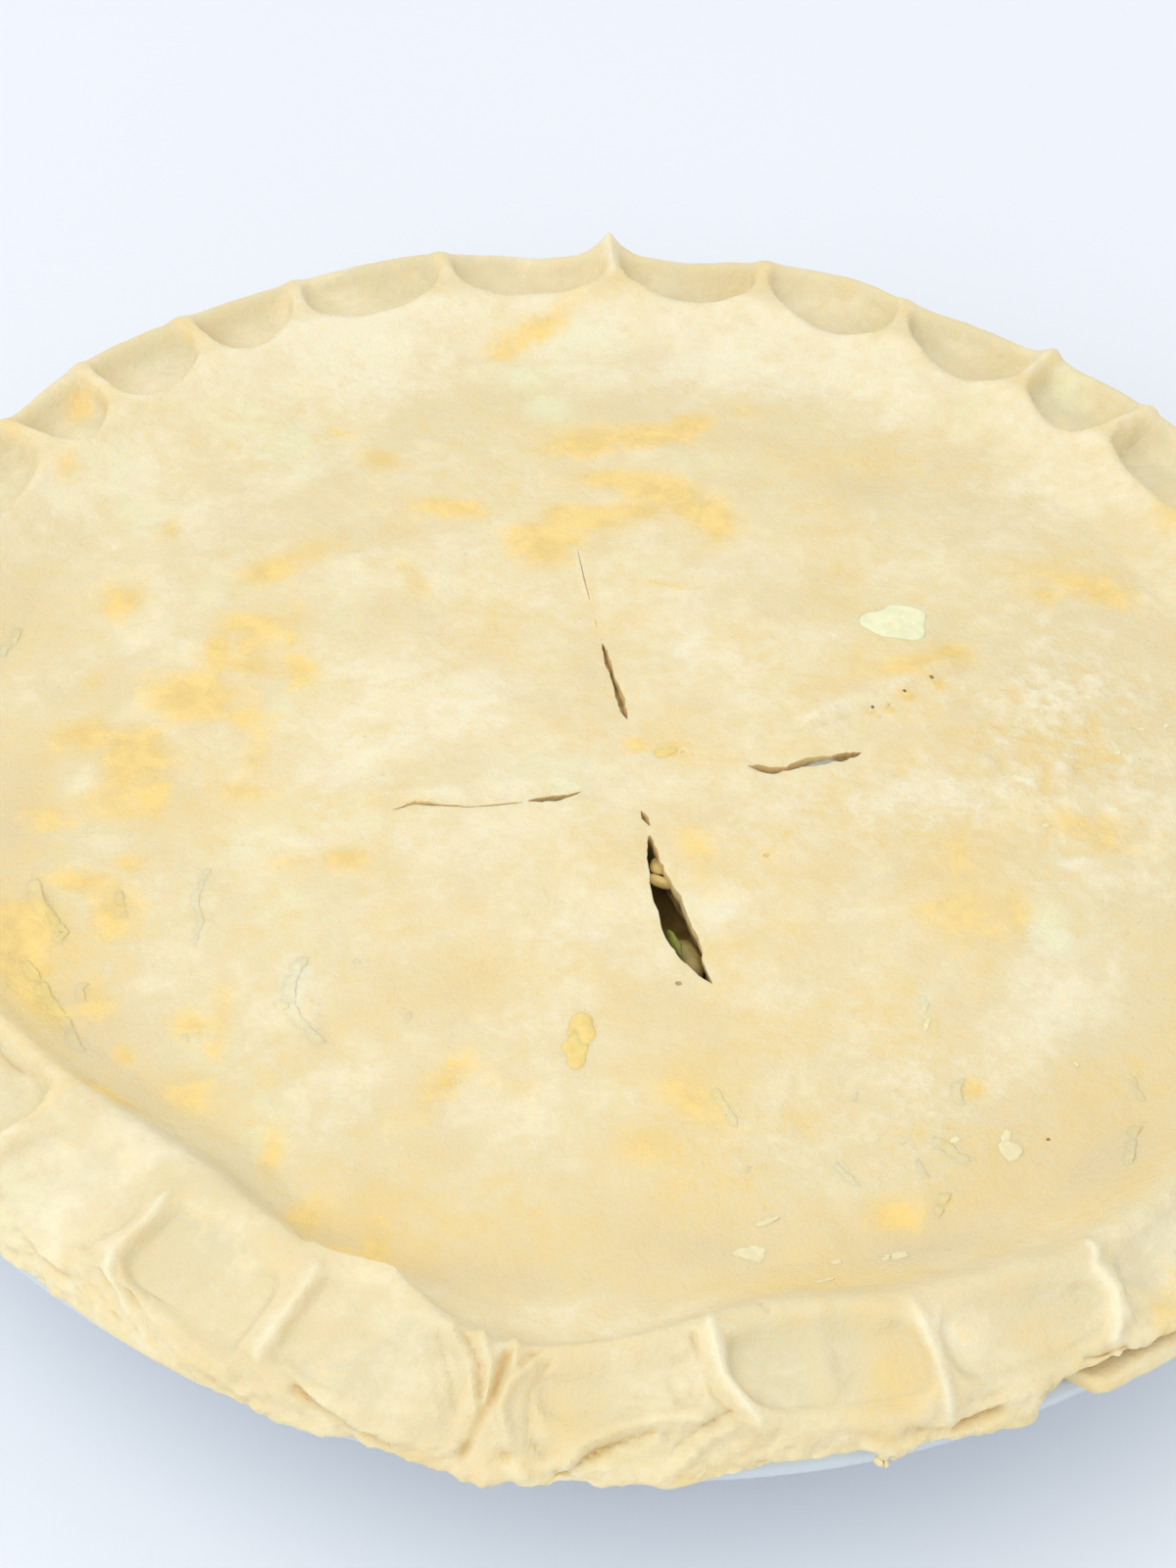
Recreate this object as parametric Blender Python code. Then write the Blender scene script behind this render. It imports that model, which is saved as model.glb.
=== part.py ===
"""An uncooked chicken pot pie in its round white dish: a lining of dough, a filling, and a lid whose
rim is pressed into flutes with a thumb. Metres, +Z up, origin under the middle of the dish's foot."""

import math
import random

import bmesh
import bpy
from mathutils import Vector

MM = 0.001
GAP = 0.3 * MM

# The dish
DISH_RADIUS = 122 * MM
DISH_HEIGHT = 36 * MM
DISH_WALL = 5 * MM
DISH_SEGMENTS = 72
FLANGE_WIDTH = 15 * MM
FLOOR_RADIUS = 83 * MM
FOOT_WIDTH = 6 * MM
FOOT_HEIGHT = 1.5 * MM

# The dough
LINING = 3.2 * MM
LINING_EDGE = 122.6 * MM
LID_SEAT = DISH_HEIGHT + GAP + LINING + GAP
LID_UNDER_CENTRE = 43 * MM
LID_CENTRE = 48 * MM
LID_SAG = 3.8 * MM
VALLEY_RADIUS = 95 * MM
CREST_RADIUS = 108.5 * MM
CREST_HEIGHT = 49.6 * MM
RIM_EDGE = 124.2 * MM
LIP_HEIGHT = 48.0 * MM
POCKET_DEPTH = 4.0 * MM

# The flutes: ridge angles in degrees, with the two sides spread evenly between them
BACK_RIDGES = (49, 58, 71, 82, 94, 108, 121, 130, 140, 148)
FRONT_RIDGES = (239, 251, 266, 281, 294, 307)
SIDE_FLUTES = 7
RIDGE_JITTER = 1.1
STATIONS = (0.0, 0.13, 0.31, 0.5, 0.69, 0.87)
RIDGE_SHARE = 0.17

# The four slits of the vent: how far each starts and ends from the cross's middle, and its width
CROSS_CENTRE = Vector((3 * MM, -3 * MM, 0))
CROSS_TURN = math.radians(15.9)
SLITS = {
    "right": (10 * MM, 34 * MM, 1.4 * MM),
    "back": (14 * MM, 51 * MM, 1.6 * MM),
    "left": (10 * MM, 35 * MM, 1.5 * MM),
    "front": (9 * MM, 41 * MM, 3.6 * MM),
}


def smooth(low, high, value):
    """0 below low, 1 above high, and an S curve between them."""
    t = min(max((value - low) / (high - low), 0.0), 1.0)
    return t * t * (3 - 2 * t)


def ridge_angles(chance):
    """The ridges once round, in degrees, from the first ridge at the back right."""
    angles = list(BACK_RIDGES)
    for start, end, more in (
        (BACK_RIDGES[-1], FRONT_RIDGES[0], FRONT_RIDGES),
        (FRONT_RIDGES[-1], BACK_RIDGES[0] + 360, ()),
    ):
        pitch = (end - start) / SIDE_FLUTES
        for step in range(1, SIDE_FLUTES):
            angles.append(start + step * pitch + chance.uniform(-RIDGE_JITTER, RIDGE_JITTER))
        angles.extend(more)
    return angles


def rim_stations():
    """Where the rim is modelled: (angle, how far the dough is pressed in, press strength) of each station."""
    chance = random.Random(7)
    ridges = ridge_angles(chance)
    stations = []
    for ridge, following in zip(ridges, ridges[1:] + [ridges[0] + 360]):
        strength = chance.uniform(0.8, 1.1)
        for share in STATIONS:
            pressed = smooth(0, RIDGE_SHARE, share) * smooth(0, RIDGE_SHARE, 1 - share)
            angle = math.radians(ridge + share * (following - ridge))
            stations.append((angle, pressed, strength))
    return stations


def wobble(angle, *waves):
    """A sum of sines round the pie: each wave is (lobes, phase in degrees, size)."""
    return sum(size * math.sin(lobes * angle + math.radians(phase)) for lobes, phase, size in waves)


def crest_radius(angle):
    return CREST_RADIUS + wobble(angle, (2, 40, 0.8 * MM), (5, 150, 1.0 * MM), (9, 20, 0.9 * MM))


def edge_radius(angle):
    return RIM_EDGE + wobble(angle, (3, 70, 0.5 * MM), (7, 10, 0.6 * MM), (13, 200, 0.5 * MM))


def lining_radius(angle):
    return LINING_EDGE + wobble(angle, (4, 20, 0.5 * MM), (11, 130, 0.7 * MM), (17, 60, 0.4 * MM))


def lid_top(radius, angle):
    """Height of the lid inside the rim: a low dome, a valley round it, and the rise to the crest."""
    dome = LID_CENTRE - LID_SAG * (radius / VALLEY_RADIUS) ** 2
    lumps = wobble(angle, (3, 200, 0.5 * MM), (5, 80, 0.35 * MM)) * smooth(0.01, 0.05, radius)
    crest = crest_radius(angle)
    rise = smooth(VALLEY_RADIUS - 4 * MM, crest, radius) ** 1.4
    return (dome + lumps) * (1 - rise) + CREST_HEIGHT * rise


def lid_under(radius):
    """Height of the lid's underside, which lies on the filling and meets the lining at its seat."""
    share = radius / lining_inside()[-1][0]
    return LID_UNDER_CENTRE - (LID_UNDER_CENTRE - LID_SEAT) * share**2


def at(radius, angle, height):
    return Vector((radius * math.cos(angle), radius * math.sin(angle), height))


def offset(profile, distance):
    """The profile of (radius, height) points moved sideways to its left, with mitred corners."""
    points = [Vector(point) for point in profile]
    moved = []
    for index, point in enumerate(points):
        ahead = points[min(index + 1, len(points) - 1)] - point
        behind = point - points[max(index - 1, 0)]
        ahead = (ahead if ahead.length else behind).normalized()
        behind = (behind if behind.length else ahead).normalized()
        left = Vector((-ahead.y - behind.y, ahead.x + behind.x)).normalized()
        stretch = left.dot(Vector((-ahead.y, ahead.x)))
        moved.append(point + left * (distance / stretch))
    return [(max(point.x, 0.0), point.y) for point in moved]


def material(name, colour, roughness, coat=0.0):
    made = bpy.data.materials.new(name)
    made.use_nodes = True
    shader = made.node_tree.nodes["Principled BSDF"]
    shader.inputs["Base Color"].default_value = (*colour, 1)
    shader.inputs["Roughness"].default_value = roughness
    shader.inputs["Metallic"].default_value = 0
    shader.inputs["Coat Weight"].default_value = coat
    made.diffuse_color = (*colour, 1)
    return made


def link_mesh(name, bm, finish):
    bmesh.ops.recalc_face_normals(bm, faces=bm.faces)
    bmesh.ops.triangulate(bm, faces=bm.faces)
    mesh = bpy.data.meshes.new(name)
    bm.to_mesh(mesh)
    bm.free()
    mesh.shade_smooth()
    mesh.set_sharp_from_angle(angle=math.radians(50))
    made = bpy.data.objects.new(name, mesh)
    bpy.context.scene.collection.objects.link(made)
    if finish:
        mesh.materials.append(finish)
    return made


def join_rings(bm, first, second):
    """Faces between two rings: a single point, an equal count, or twice or half as many points."""
    if len(first) < len(second):
        first, second = second, first
    count = len(first)
    for index in range(len(second)):
        if len(second) == 1:
            for step in range(count):
                bm.faces.new((first[step], first[(step + 1) % count], second[0]))
        elif len(second) == count:
            after = (index + 1) % count
            bm.faces.new((first[index], first[after], second[after], second[index]))
        else:
            low, middle, high = (first[(2 * index + step) % count] for step in range(3))
            near, far = second[index], second[(index + 1) % len(second)]
            bm.faces.new((low, middle, near))
            bm.faces.new((middle, far, near))
            bm.faces.new((middle, high, far))


def loft(name, rings, finish):
    """A closed body through rings of points, from its lowest pole over its edge to its top pole."""
    bm = bmesh.new()
    made = [[bm.verts.new(point) for point in ring] for ring in rings]
    for first, second in zip(made, made[1:]):
        join_rings(bm, first, second)
    return link_mesh(name, bm, finish)


def turned(profile, angles):
    """Rings of a profile of (radius, height) points, the first and last of which lie on the axis."""
    rings = []
    for radius, height in profile:
        if radius == 0:
            rings.append([Vector((0, 0, height))])
        else:
            rings.append([at(radius, angle, height) for angle in angles])
    return rings


def dish_inside():
    """The dish's inner profile from the middle of its floor to the flange's outer edge."""
    floor = DISH_WALL
    wall_top = DISH_RADIUS - FLANGE_WIDTH
    return [
        (0, floor),
        (FLOOR_RADIUS - 5 * MM, floor),
        (FLOOR_RADIUS + 1 * MM, floor + 2 * MM),
        (FLOOR_RADIUS + 5 * MM, floor + 7 * MM),
        (wall_top - 2.5 * MM, DISH_HEIGHT - 5 * MM),
        (wall_top + 2.0 * MM, DISH_HEIGHT),
        (DISH_RADIUS - 1.4 * MM, DISH_HEIGHT),
    ]


def lining_inside():
    """The lining's inner profile, up to the edge that the lid's underside reaches."""
    return offset(dish_inside(), GAP + LINING)[:-1]


def pie_dish():
    inside = dish_inside()
    under = offset(inside[3:-1], -DISH_WALL)
    foot = FLOOR_RADIUS + 1 * MM
    outside = [
        (0, FOOT_HEIGHT),
        (foot - FOOT_WIDTH - 1 * MM, FOOT_HEIGHT),
        (foot - FOOT_WIDTH, 0),
        (foot, 0),
        (foot + 3 * MM, FOOT_HEIGHT + 1.5 * MM),
        *under,
        (DISH_RADIUS - 1.6 * MM, DISH_HEIGHT - 4.8 * MM),
        (DISH_RADIUS, DISH_HEIGHT - 3.4 * MM),
        (DISH_RADIUS, DISH_HEIGHT - 1.4 * MM),
    ]
    angles = [2 * math.pi * step / DISH_SEGMENTS for step in range(DISH_SEGMENTS)]
    glaze = material("white_glaze", (0.82, 0.84, 0.86), 0.18, coat=0.4)
    return loft("pie_dish", turned(outside + inside[::-1], angles), glaze)


def bottom_crust(angles):
    """The lining, pressed into the dish and carried out over its flange under the lid's edge."""
    rings = turned(offset(dish_inside(), GAP)[:-1], angles)
    for inset, height in ((1.8, DISH_HEIGHT + GAP), (0, DISH_HEIGHT + 1.5 * MM), (1.2, LID_SEAT - GAP)):
        rings.append([at(lining_radius(angle) - inset * MM, angle, height) for angle in angles])
    rings += turned(lining_inside()[::-1], angles)
    dough = material("lining_dough", (0.83, 0.68, 0.40), 0.62)
    return loft("bottom_crust", rings, dough)


def filling(angles):
    *side, (edge, _) = offset(dish_inside(), 2 * GAP + LINING)[:-1]
    top = [(radius, lid_under(radius) - GAP) for radius in (edge, 75 * MM, 40 * MM, 0)]
    stew = material("stew", (0.45, 0.30, 0.10), 0.35)
    return loft("filling", turned(side + top, angles), stew)


def rim_rings(stations):
    """The lid's pressed edge, from its underside round the outer lip and over the crest."""
    rings = [[] for _ in range(9)]
    for angle, pressed, strength in stations:
        depth = POCKET_DEPTH * pressed * strength
        edge = edge_radius(angle) + 0.8 * MM * pressed
        crest = crest_radius(angle)
        lip = LIP_HEIGHT - 0.85 * depth
        section = (
            (edge - 2.2 * MM, LID_SEAT),
            (edge - 0.3 * MM, LID_SEAT + 1.4 * MM),
            (edge, lip - 1.8 * MM),
            (edge - 1.6 * MM, lip),
            (edge - 4.2 * MM, LIP_HEIGHT + 0.5 * MM - 1.1 * depth),
            (crest + 4 * MM, CREST_HEIGHT - 0.4 * MM - depth),
            (crest + 1.2 * MM, CREST_HEIGHT - 0.3 * depth),
            (crest - 1.2 * MM, CREST_HEIGHT - 0.4 * MM),
            (crest - 4.5 * MM, lid_top(crest - 4.5 * MM, angle)),
        )
        for ring, (radius, height) in zip(rings, section):
            ring.append(at(radius, angle, height))
    return rings


def top_crust(stations):
    """The lid in one piece with its fluted rim, cut by four slits."""
    angles = [angle for angle, _, _ in stations]
    half = angles[::2]
    quarter = angles[::4]
    rings = [[Vector((0, 0, lid_under(0)))]]
    rings += turned([(40 * MM, lid_under(40 * MM)), (75 * MM, lid_under(75 * MM))], quarter)
    rings += turned([(lining_inside()[-1][0], LID_SEAT)], half)
    rings += rim_rings(stations)
    rings.append([at(crest_radius(a) - 9 * MM, a, lid_top(crest_radius(a) - 9 * MM, a)) for a in half])
    for radius, around in ((91, half), (81, half), (69, half), (56, quarter), (41, quarter), (22, quarter)):
        rings.append([at(radius * MM, a, lid_top(radius * MM, a)) for a in around])
    rings.append([Vector((0, 0, lid_top(0, 0)))])
    dough = material("lid_dough", (0.86, 0.71, 0.42), 0.6)
    return loft("top_crust", rings, dough)


def slit_cutter(name, start, end, width, direction):
    """A thin upright lens, as long as the slit, that passes through the whole lid."""
    along = Vector((math.cos(direction), math.sin(direction), 0))
    across = Vector((-along.y, along.x, 0))
    steps = 6
    outline = []
    for side in (1, -1):
        for step in range(steps):
            share = step / steps if side > 0 else 1 - step / steps
            half = side * width / 2 * math.sin(math.pi * share) ** 0.7
            outline.append(CROSS_CENTRE + along * (start + share * (end - start)) + across * half)
    bm = bmesh.new()
    face = bm.faces.new([bm.verts.new(point + Vector((0, 0, 30 * MM))) for point in outline])
    raised = bmesh.ops.extrude_face_region(bm, geom=[face])["geom"]
    corners = [item for item in raised if isinstance(item, bmesh.types.BMVert)]
    bmesh.ops.translate(bm, vec=(0, 0, 40 * MM), verts=corners)
    cutter = link_mesh(name, bm, None)
    cutter.hide_render = True
    cutter.display_type = "WIRE"
    return cutter


def cut_slits(lid):
    for index, (name, (start, end, width)) in enumerate(SLITS.items()):
        cutter = slit_cutter(f"cutter_{name}", start, end, width, CROSS_TURN + index * math.pi / 2)
        cut = lid.modifiers.new(f"slit_{name}", "BOOLEAN")
        cut.operation = "DIFFERENCE"
        cut.object = cutter


def main():
    for old in list(bpy.data.objects):
        bpy.data.objects.remove(old)
    stations = rim_stations()
    half = [angle for angle, _, _ in stations[::2]]
    quarter = [angle for angle, _, _ in stations[::4]]
    pie_dish()
    bottom_crust(half)
    filling(quarter)
    cut_slits(top_crust(stations))


main()
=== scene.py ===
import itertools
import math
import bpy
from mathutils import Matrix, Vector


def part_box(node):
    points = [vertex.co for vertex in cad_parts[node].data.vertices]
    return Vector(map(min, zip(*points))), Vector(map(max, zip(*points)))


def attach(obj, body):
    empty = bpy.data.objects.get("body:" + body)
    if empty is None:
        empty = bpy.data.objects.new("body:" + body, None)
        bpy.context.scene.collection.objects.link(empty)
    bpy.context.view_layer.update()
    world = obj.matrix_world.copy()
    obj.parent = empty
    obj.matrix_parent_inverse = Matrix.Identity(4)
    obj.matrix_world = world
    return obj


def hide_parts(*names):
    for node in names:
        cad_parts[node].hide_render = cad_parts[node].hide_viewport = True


bl_info = {
    "name": "Chicken Pot Pie",
    "version": (1, 0, 0),
    "blender": (4, 5, 0),
    "location": "3D Viewport > Sidebar > Pot Pie",
    "description": "Makes an unbaked chicken pot pie with a thumb-fluted rim in its white dish",
    "category": "Add Mesh",
}

import bpy
import numpy as np
from mathutils import Quaternion, Vector
from mathutils.bvhtree import BVHTree

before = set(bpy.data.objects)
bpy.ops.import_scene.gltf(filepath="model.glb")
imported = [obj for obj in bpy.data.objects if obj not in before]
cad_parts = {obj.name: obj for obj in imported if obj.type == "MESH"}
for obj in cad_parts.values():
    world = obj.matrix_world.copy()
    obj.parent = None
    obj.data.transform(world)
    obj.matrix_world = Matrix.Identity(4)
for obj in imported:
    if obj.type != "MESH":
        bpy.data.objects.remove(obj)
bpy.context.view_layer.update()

MM = 0.001
DISH_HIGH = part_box("pie_dish")[1]
STEW_LOW, STEW_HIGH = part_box("filling")

# The rim. Angles are degrees round the pie from the right, 90 at the back. Lengths are mm.
# "Out" is the distance along the dough from the crest over the lip and down the side.
BACK_RIDGES = (49, 58, 70.2, 82, 94.4, 108, 121, 130, 140)
LEFT_RIDGES = (148, 161, 174, 187, 200, 213)
FRONT_RIDGES = (226, 239, 251, 265.5, 280, 294)
RIGHT_RIDGES = (307.5, 322, 336.5, 351, 365.5, 380, 394.5)
RIDGES = BACK_RIDGES + LEFT_RIDGES + FRONT_RIDGES + RIGHT_RIDGES
# Ridges before this angle are followed by prints like the back's.
BACK_END = 160
# Lines of points over the rim from one ridge to the next, and how much they crowd at the ridges, 0 to 1.
BACK_LINES = 32
SIDE_LINES = 24
FRONT_LINES = 56
CORNER_LINES = 40
CROWDING = 0.45
# Widths along the rim are measured on a circle of this radius.
ARC_RADIUS = 118
# The rim's underside starts here, where the lid's underside ends.
SEAT_RADIUS = 96
SEAT_HEIGHT = 40.1
# The lid falls to a valley beside the rim, and is lowest from this radius out.
VALLEY_RADIUS = 97
# The rim ends and the lid begins at about this radius.
LID_RADIUS = 95
# Lumps of the crumbly dough, in mm, and the seed of their noise.
CRUMB_SIZE = 2.4
CRUMB_SEED = 35

# How far a ridge swerves from its own angle: (out, degrees) pairs.
SWERVES = {
    226: ((4, 1.0), (20, -0.6)),
    239: ((8, -0.1), (13, -0.7), (17, 0.0), (22, 2.2), (26, 4.6)),
    251: ((2, 0.5), (4, 0.6), (10, -0.2), (15, -0.6)),
    280: ((2, -0.5), (9, 0.1), (13, 1.1), (18, 2.2)),
    294: ((2.7, 0.1), (9, 0.4), (14, 0.3), (19, 0.3)),
    307.5: ((1, 0.6), (4, -0.1), (9, 0.3), (15, -0.5), (18, -1.2)),
    94.4: ((0, -0.1), (14, 0.1)),
    70.2: ((0, -0.6), (14, 0.2)),
    121: ((0, 0.7), (14, -0.8)),
}
# Ridges of the front: height, where they start and end, and the width of the flank on either side.
FRONT_FINS = {
    226: (1.0, 9, 21, 1.6, 1.4),
    239: (1.3, 5, 25, 1.5, 1.0),
    251: (1.3, 2, 17, 1.7, 1.0),
    265.5: (0.0, 2, 10, 1.0, 1.0),
    280: (1.4, 0, 15, 0.9, 1.3),
    294: (1.2, 1.0, 18, 1.1, 1.6),
    307.5: (1.3, -0.5, 16.5, 1.2, 1.6),
}
# Ridges of the back: height alone, where it isn't drawn at random.
BACK_FINS = {
    49: 0.6, 58: 0.9, 70.2: 0.1, 82: 0.2, 94.4: 2.0, 108: 0.3, 121: 0.2, 130: 0.2, 140: 0.3, 148: 0.5,
}
# Thumb presses of the front, after the ridge they follow: depth, inner end, outer end, corner, margins.
FRONT_PRESSES = {
    226: (1.0, 2.0, 22.0, 10.0, 1.4, 1.4),
    239: (1.8, 2.0, 22.0, 8.0, 0.5, 2.4),
    251: (1.2, 0.2, 19.8, 5.0, 0.4, 3.4),
    265.5: (1.3, 0.6, 12.2, 6.0, 4.6, 1.8),
    280: (1.9, 0.2, 17.0, 7.0, 0.5, 0.4),
    294: (1.3, 0.0, 16.4, 9.0, 1.0, 0.4),
    307.5: (1.3, 0.0, 16.4, 9.0, 0.8, 0.8),
}

# The rim's section round the pie, as (angle, mm) pairs, or 0 to 1 for how sharply its inner edge drops.
CREST_RADIUS = (
    (0, 108.5), (30, 108), (49, 109), (70, 109.5), (94, 110), (120, 109), (148, 108), (180, 108),
    (205, 107.5), (220, 106.5), (229, 103.7), (239, 102.6), (245, 105), (251, 107.6), (257, 106.5),
    (262, 112.3), (266, 114), (271, 112.2), (276, 110), (281, 107.2), (286, 106.6), (294, 109),
    (301, 109.8), (307, 112), (318, 110),
)
CREST_HEIGHT = (
    (0, 49.3), (49, 49.2), (94, 49.4), (148, 49.3), (200, 49.5), (229, 50.2), (245, 50.2), (256, 50.3),
    (262, 48.9), (266, 48.3), (272, 49.0), (283, 49.7), (294, 49.5), (307, 49.3),
)
CREST_SHARPNESS = (
    (0, 0.1), (205, 0.15), (216, 0.4), (232, 0.45), (243, 0.5), (252, 0.95), (258, 1.0), (264, 0.4),
    (268, 0.85), (276, 0.9), (283, 0.45), (300, 0.35), (312, 0.2),
)
LIP_RADIUS = (
    (0, 123), (30, 123.4), (51, 123.6), (59, 122.8), (68, 122), (75, 124.6), (82, 124), (88, 121.4),
    (94, 122), (100, 121.4), (108, 123.4), (117, 123.2), (127, 122.8), (137, 124), (146, 122.4),
    (170, 123), (200, 123), (226, 122.6), (240, 121.5), (248, 122.4), (254, 124), (260, 125.4),
    (266, 123.2), (272, 121), (278, 120.8), (284, 120.6), (290, 122), (296, 122.4), (302, 122.6),
    (308, 123), (330, 123),
)
LIP_HEIGHT = (
    (0, 47.2), (49, 47.4), (71, 47.7), (82, 47.8), (88, 46.9), (94, 47.9), (100, 46.8), (108, 47.9),
    (148, 47.4), (200, 47.0), (222, 45.8), (230, 45.2), (254, 44.9), (266, 44.6), (310, 45.2),
    (325, 46.6),
)
EDGE_RADIUS = (
    (0, 124.6), (40, 125.2), (60, 126), (90, 124.6), (120, 125.8), (148, 125), (180, 124.8),
    (215, 124.6), (231, 124.6), (234, 124), (240, 124.9), (249, 125.6), (253, 126.6), (257, 125),
    (264, 126.6), (268, 127), (270.3, 125.9), (275, 125.7), (276.4, 126.7), (278.2, 125.7),
    (279.2, 124.9), (282.2, 124.1), (286.6, 123.8), (289, 124.2), (290, 125.5), (292.1, 125.2),
    (296.7, 124.9), (298.2, 125.9), (299.9, 126.1), (300.7, 125.4), (301.3, 123.4), (303.7, 123.4),
    (305, 124.6), (312, 124.8),
)
EDGE_HEIGHT = (
    (0, 37.2), (60, 36.8), (120, 37.4), (180, 36.9), (231, 36.8), (250, 36.6), (262, 36.5), (270, 36.6),
    (277, 36.4), (280, 36.7), (283, 37.5), (289, 37.8), (290.3, 37.1), (294.5, 36.9), (297, 36.6),
    (300, 36.1), (301, 36.6), (301.6, 40.2), (303.4, 40.4), (304.4, 41.1), (310, 41.0), (316, 38.6),
)
LINING_RADIUS = (
    (0, 123.4), (60, 123.9), (120, 123.3), (180, 123.8), (231, 123.6), (262, 124), (280, 123),
    (284, 122.2), (293, 122.6), (298, 123.0), (300.4, 121), (301.0, 117.6), (303.3, 117.6),
    (304.0, 125.2), (305.6, 126.3), (309.9, 126.3), (314, 125), (320, 123.6),
)
VALLEY_HEIGHT = (
    (0, 44.4), (49, 45.4), (94, 45.9), (148, 45.4), (200, 44.4), (240, 43.4), (300, 43.4), (330, 44),
)

# Folds (raised) and creases (sunk) of the pinched front rim: height, width, then (angle, out) points.
FOLDS = (
    (-1.5, 0.7, (265.9, 0.8), (265.7, 2.5), (265.3, 7.5), (264.6, 12.6), (264.0, 16.5)),
    (1.3, 0.9, (267.4, 2.0), (266.3, 5), (265.9, 8), (266.6, 12.4), (267.8, 17)),
    (-0.8, 0.6, (268.6, 2.4), (267.7, 6), (268.0, 12.3), (269.0, 15)),
    (1.0, 0.9, (266.2, -1.4), (266.4, 1.5)),
    (-1.2, 0.7, (267.7, 0.2), (267.0, 2.4)),
    (1.0, 0.8, (261.9, 0.8), (262.8, 3), (263.8, 5.6), (264.4, 9.6)),
    (-0.9, 0.6, (263.0, 0.4), (264.2, 3.6), (264.6, 7.5)),
    (1.1, 0.8, (263.9, -0.6), (265.0, 3.6), (265.1, 9.8), (264.4, 13.5)),
    (-0.7, 0.6, (261.0, 2.6), (262.5, 6.5), (263.3, 11)),
    (0.5, 0.7, (259.6, 4.0), (261.2, 8.5), (262.4, 13)),
    (1.3, 1.1, (270.4, 15.8), (271.4, 13.0), (273.4, 11.3), (276.6, 11.2), (278.6, 12.4)),
    (-1.3, 0.7, (270.2, 17.6), (271.2, 15.6), (273.0, 14.0), (275.6, 13.2)),
    (-0.9, 0.6, (278.4, 1.8), (278.9, 6), (279.5, 9.9), (281.2, 15.4), (282.4, 18)),
    (-0.5, 0.6, (276.8, 6.5), (277.3, 9.5)),
    (0.7, 0.8, (274.0, 8.6), (275.6, 9.4), (277.6, 9.0)),
    (1.2, 1.1, (277.4, 17.8), (279.2, 15.8), (280.9, 15.4), (282.6, 17.4)),
    (-0.7, 0.6, (276.6, 16.4), (278.6, 14.2), (280.4, 13.4)),
    (0.9, 0.9, (252.2, 17.0), (254.9, 19.8), (258.0, 20.3), (260.6, 18.0)),
    (-1.7, 0.7, (253.2, 19.6), (255.2, 21.4), (257.6, 22.0), (259.4, 21.2)),
    (-0.6, 0.7, (240.8, 21.5), (242.2, 24.5), (243.4, 27)),
    (-0.5, 0.7, (238.2, 20.5), (239.6, 23.8), (241.2, 26.5)),
    (-0.5, 0.7, (236.4, 18.0), (237.9, 18.3)),
    (0.5, 0.7, (242.4, 19.6), (245.4, 20.8), (248.6, 20.6)),
    (-0.8, 0.8, (296.0, 16.0), (297.8, 16.5)),
    (-1.8, 0.9, (294.9, 19.6), (296.4, 19.2), (297.6, 18.8)),
    (-0.8, 0.8, (291.6, 19.4), (294.0, 19.8)),
    (-1.7, 0.8, (304.4, 15.3), (306.8, 16.1)),
    (-0.6, 0.6, (283.6, -1.4), (283.9, 0.4)),
    (0.55, 2.0, (287.5, 1.5), (287.2, 7.5), (287.0, 13.5)),
    (-1.4, 1.2, (249.5, -3.4), (253, -2.8), (255.5, -2.6), (257.6, -3.2)),
    (0.7, 0.8, (250.5, -0.9), (253.5, -0.5), (256.8, -0.8)),
    (-0.4, 0.8, (257.6, -3.6), (260, -4.4), (262.5, -5.0)),
    (-0.8, 0.6, (231.5, 22.0), (234.0, 24.2), (236.6, 24.6)),
    (-0.4, 0.7, (287.4, 19.0), (289.4, 19.8)),
)
# Small lobes and pits of the rim: angle, out, half width, height.
LOBES = (
    (264.1, 18.3, 1.4, 1.4), (265.6, 17.8, 1.8, 1.6), (266.7, 14.8, 1.0, -1.2), (276.4, 14.0, 0.7, -1.0),
    (229.4, 13.7, 1.0, -0.5), (287.1, 10.3, 2.2, 0.7), (311.3, 9.7, 3.0, -0.6), (94.9, 14.0, 3.4, 2.3),
    (93.2, 15.0, 2.6, 1.2), (58, 12, 3.2, 0.5), (269.2, 19.0, 1.2, 0.9), (272.6, 19.4, 1.6, 0.8),
)

# The lid: bumps and dips as x, y, half width and height, in mm from the middle of the pie.
# The small ones are crumbs of dough under the surface, each with a painted highlight in PALE.
CRUMB_BUMPS = (
    (52.6, 71.6, 1.1, 0.3), (45, 74, 1.4, 0.5), (63.2, 33, 1.6, 0.4), (68, 33.4, 1.2, 0.4),
    (62.6, 39.6, 1.5, 0.3), (54, 37.8, 1.1, 0.5), (47.4, 41.6, 1.4, 0.4), (54.2, 7.2, 1.6, 0.4),
    (56.6, 10.8, 1.2, 0.3), (18.6, -1.4, 1.5, 0.5), (37.6, -20.4, 1.1, 0.4), (-89, 4.6, 1.4, 0.4),
    (80, 47, 1.6, 0.3), (59.4, 24.5, 1.2, 0.5), (66, 22, 1.5, 0.4), (71, 27.5, 1.1, 0.4),
    (60, 3.5, 1.4, 0.3), (66.5, 6.5, 1.6, 0.5), (74, 15, 1.2, 0.4), (49.5, 0.5, 1.5, 0.4),
    (53, -14, 1.1, 0.3), (46, -9.5, 1.4, 0.5), (69, -12.5, 1.6, 0.4), (63, 17, 1.2, 0.4),
)
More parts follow.
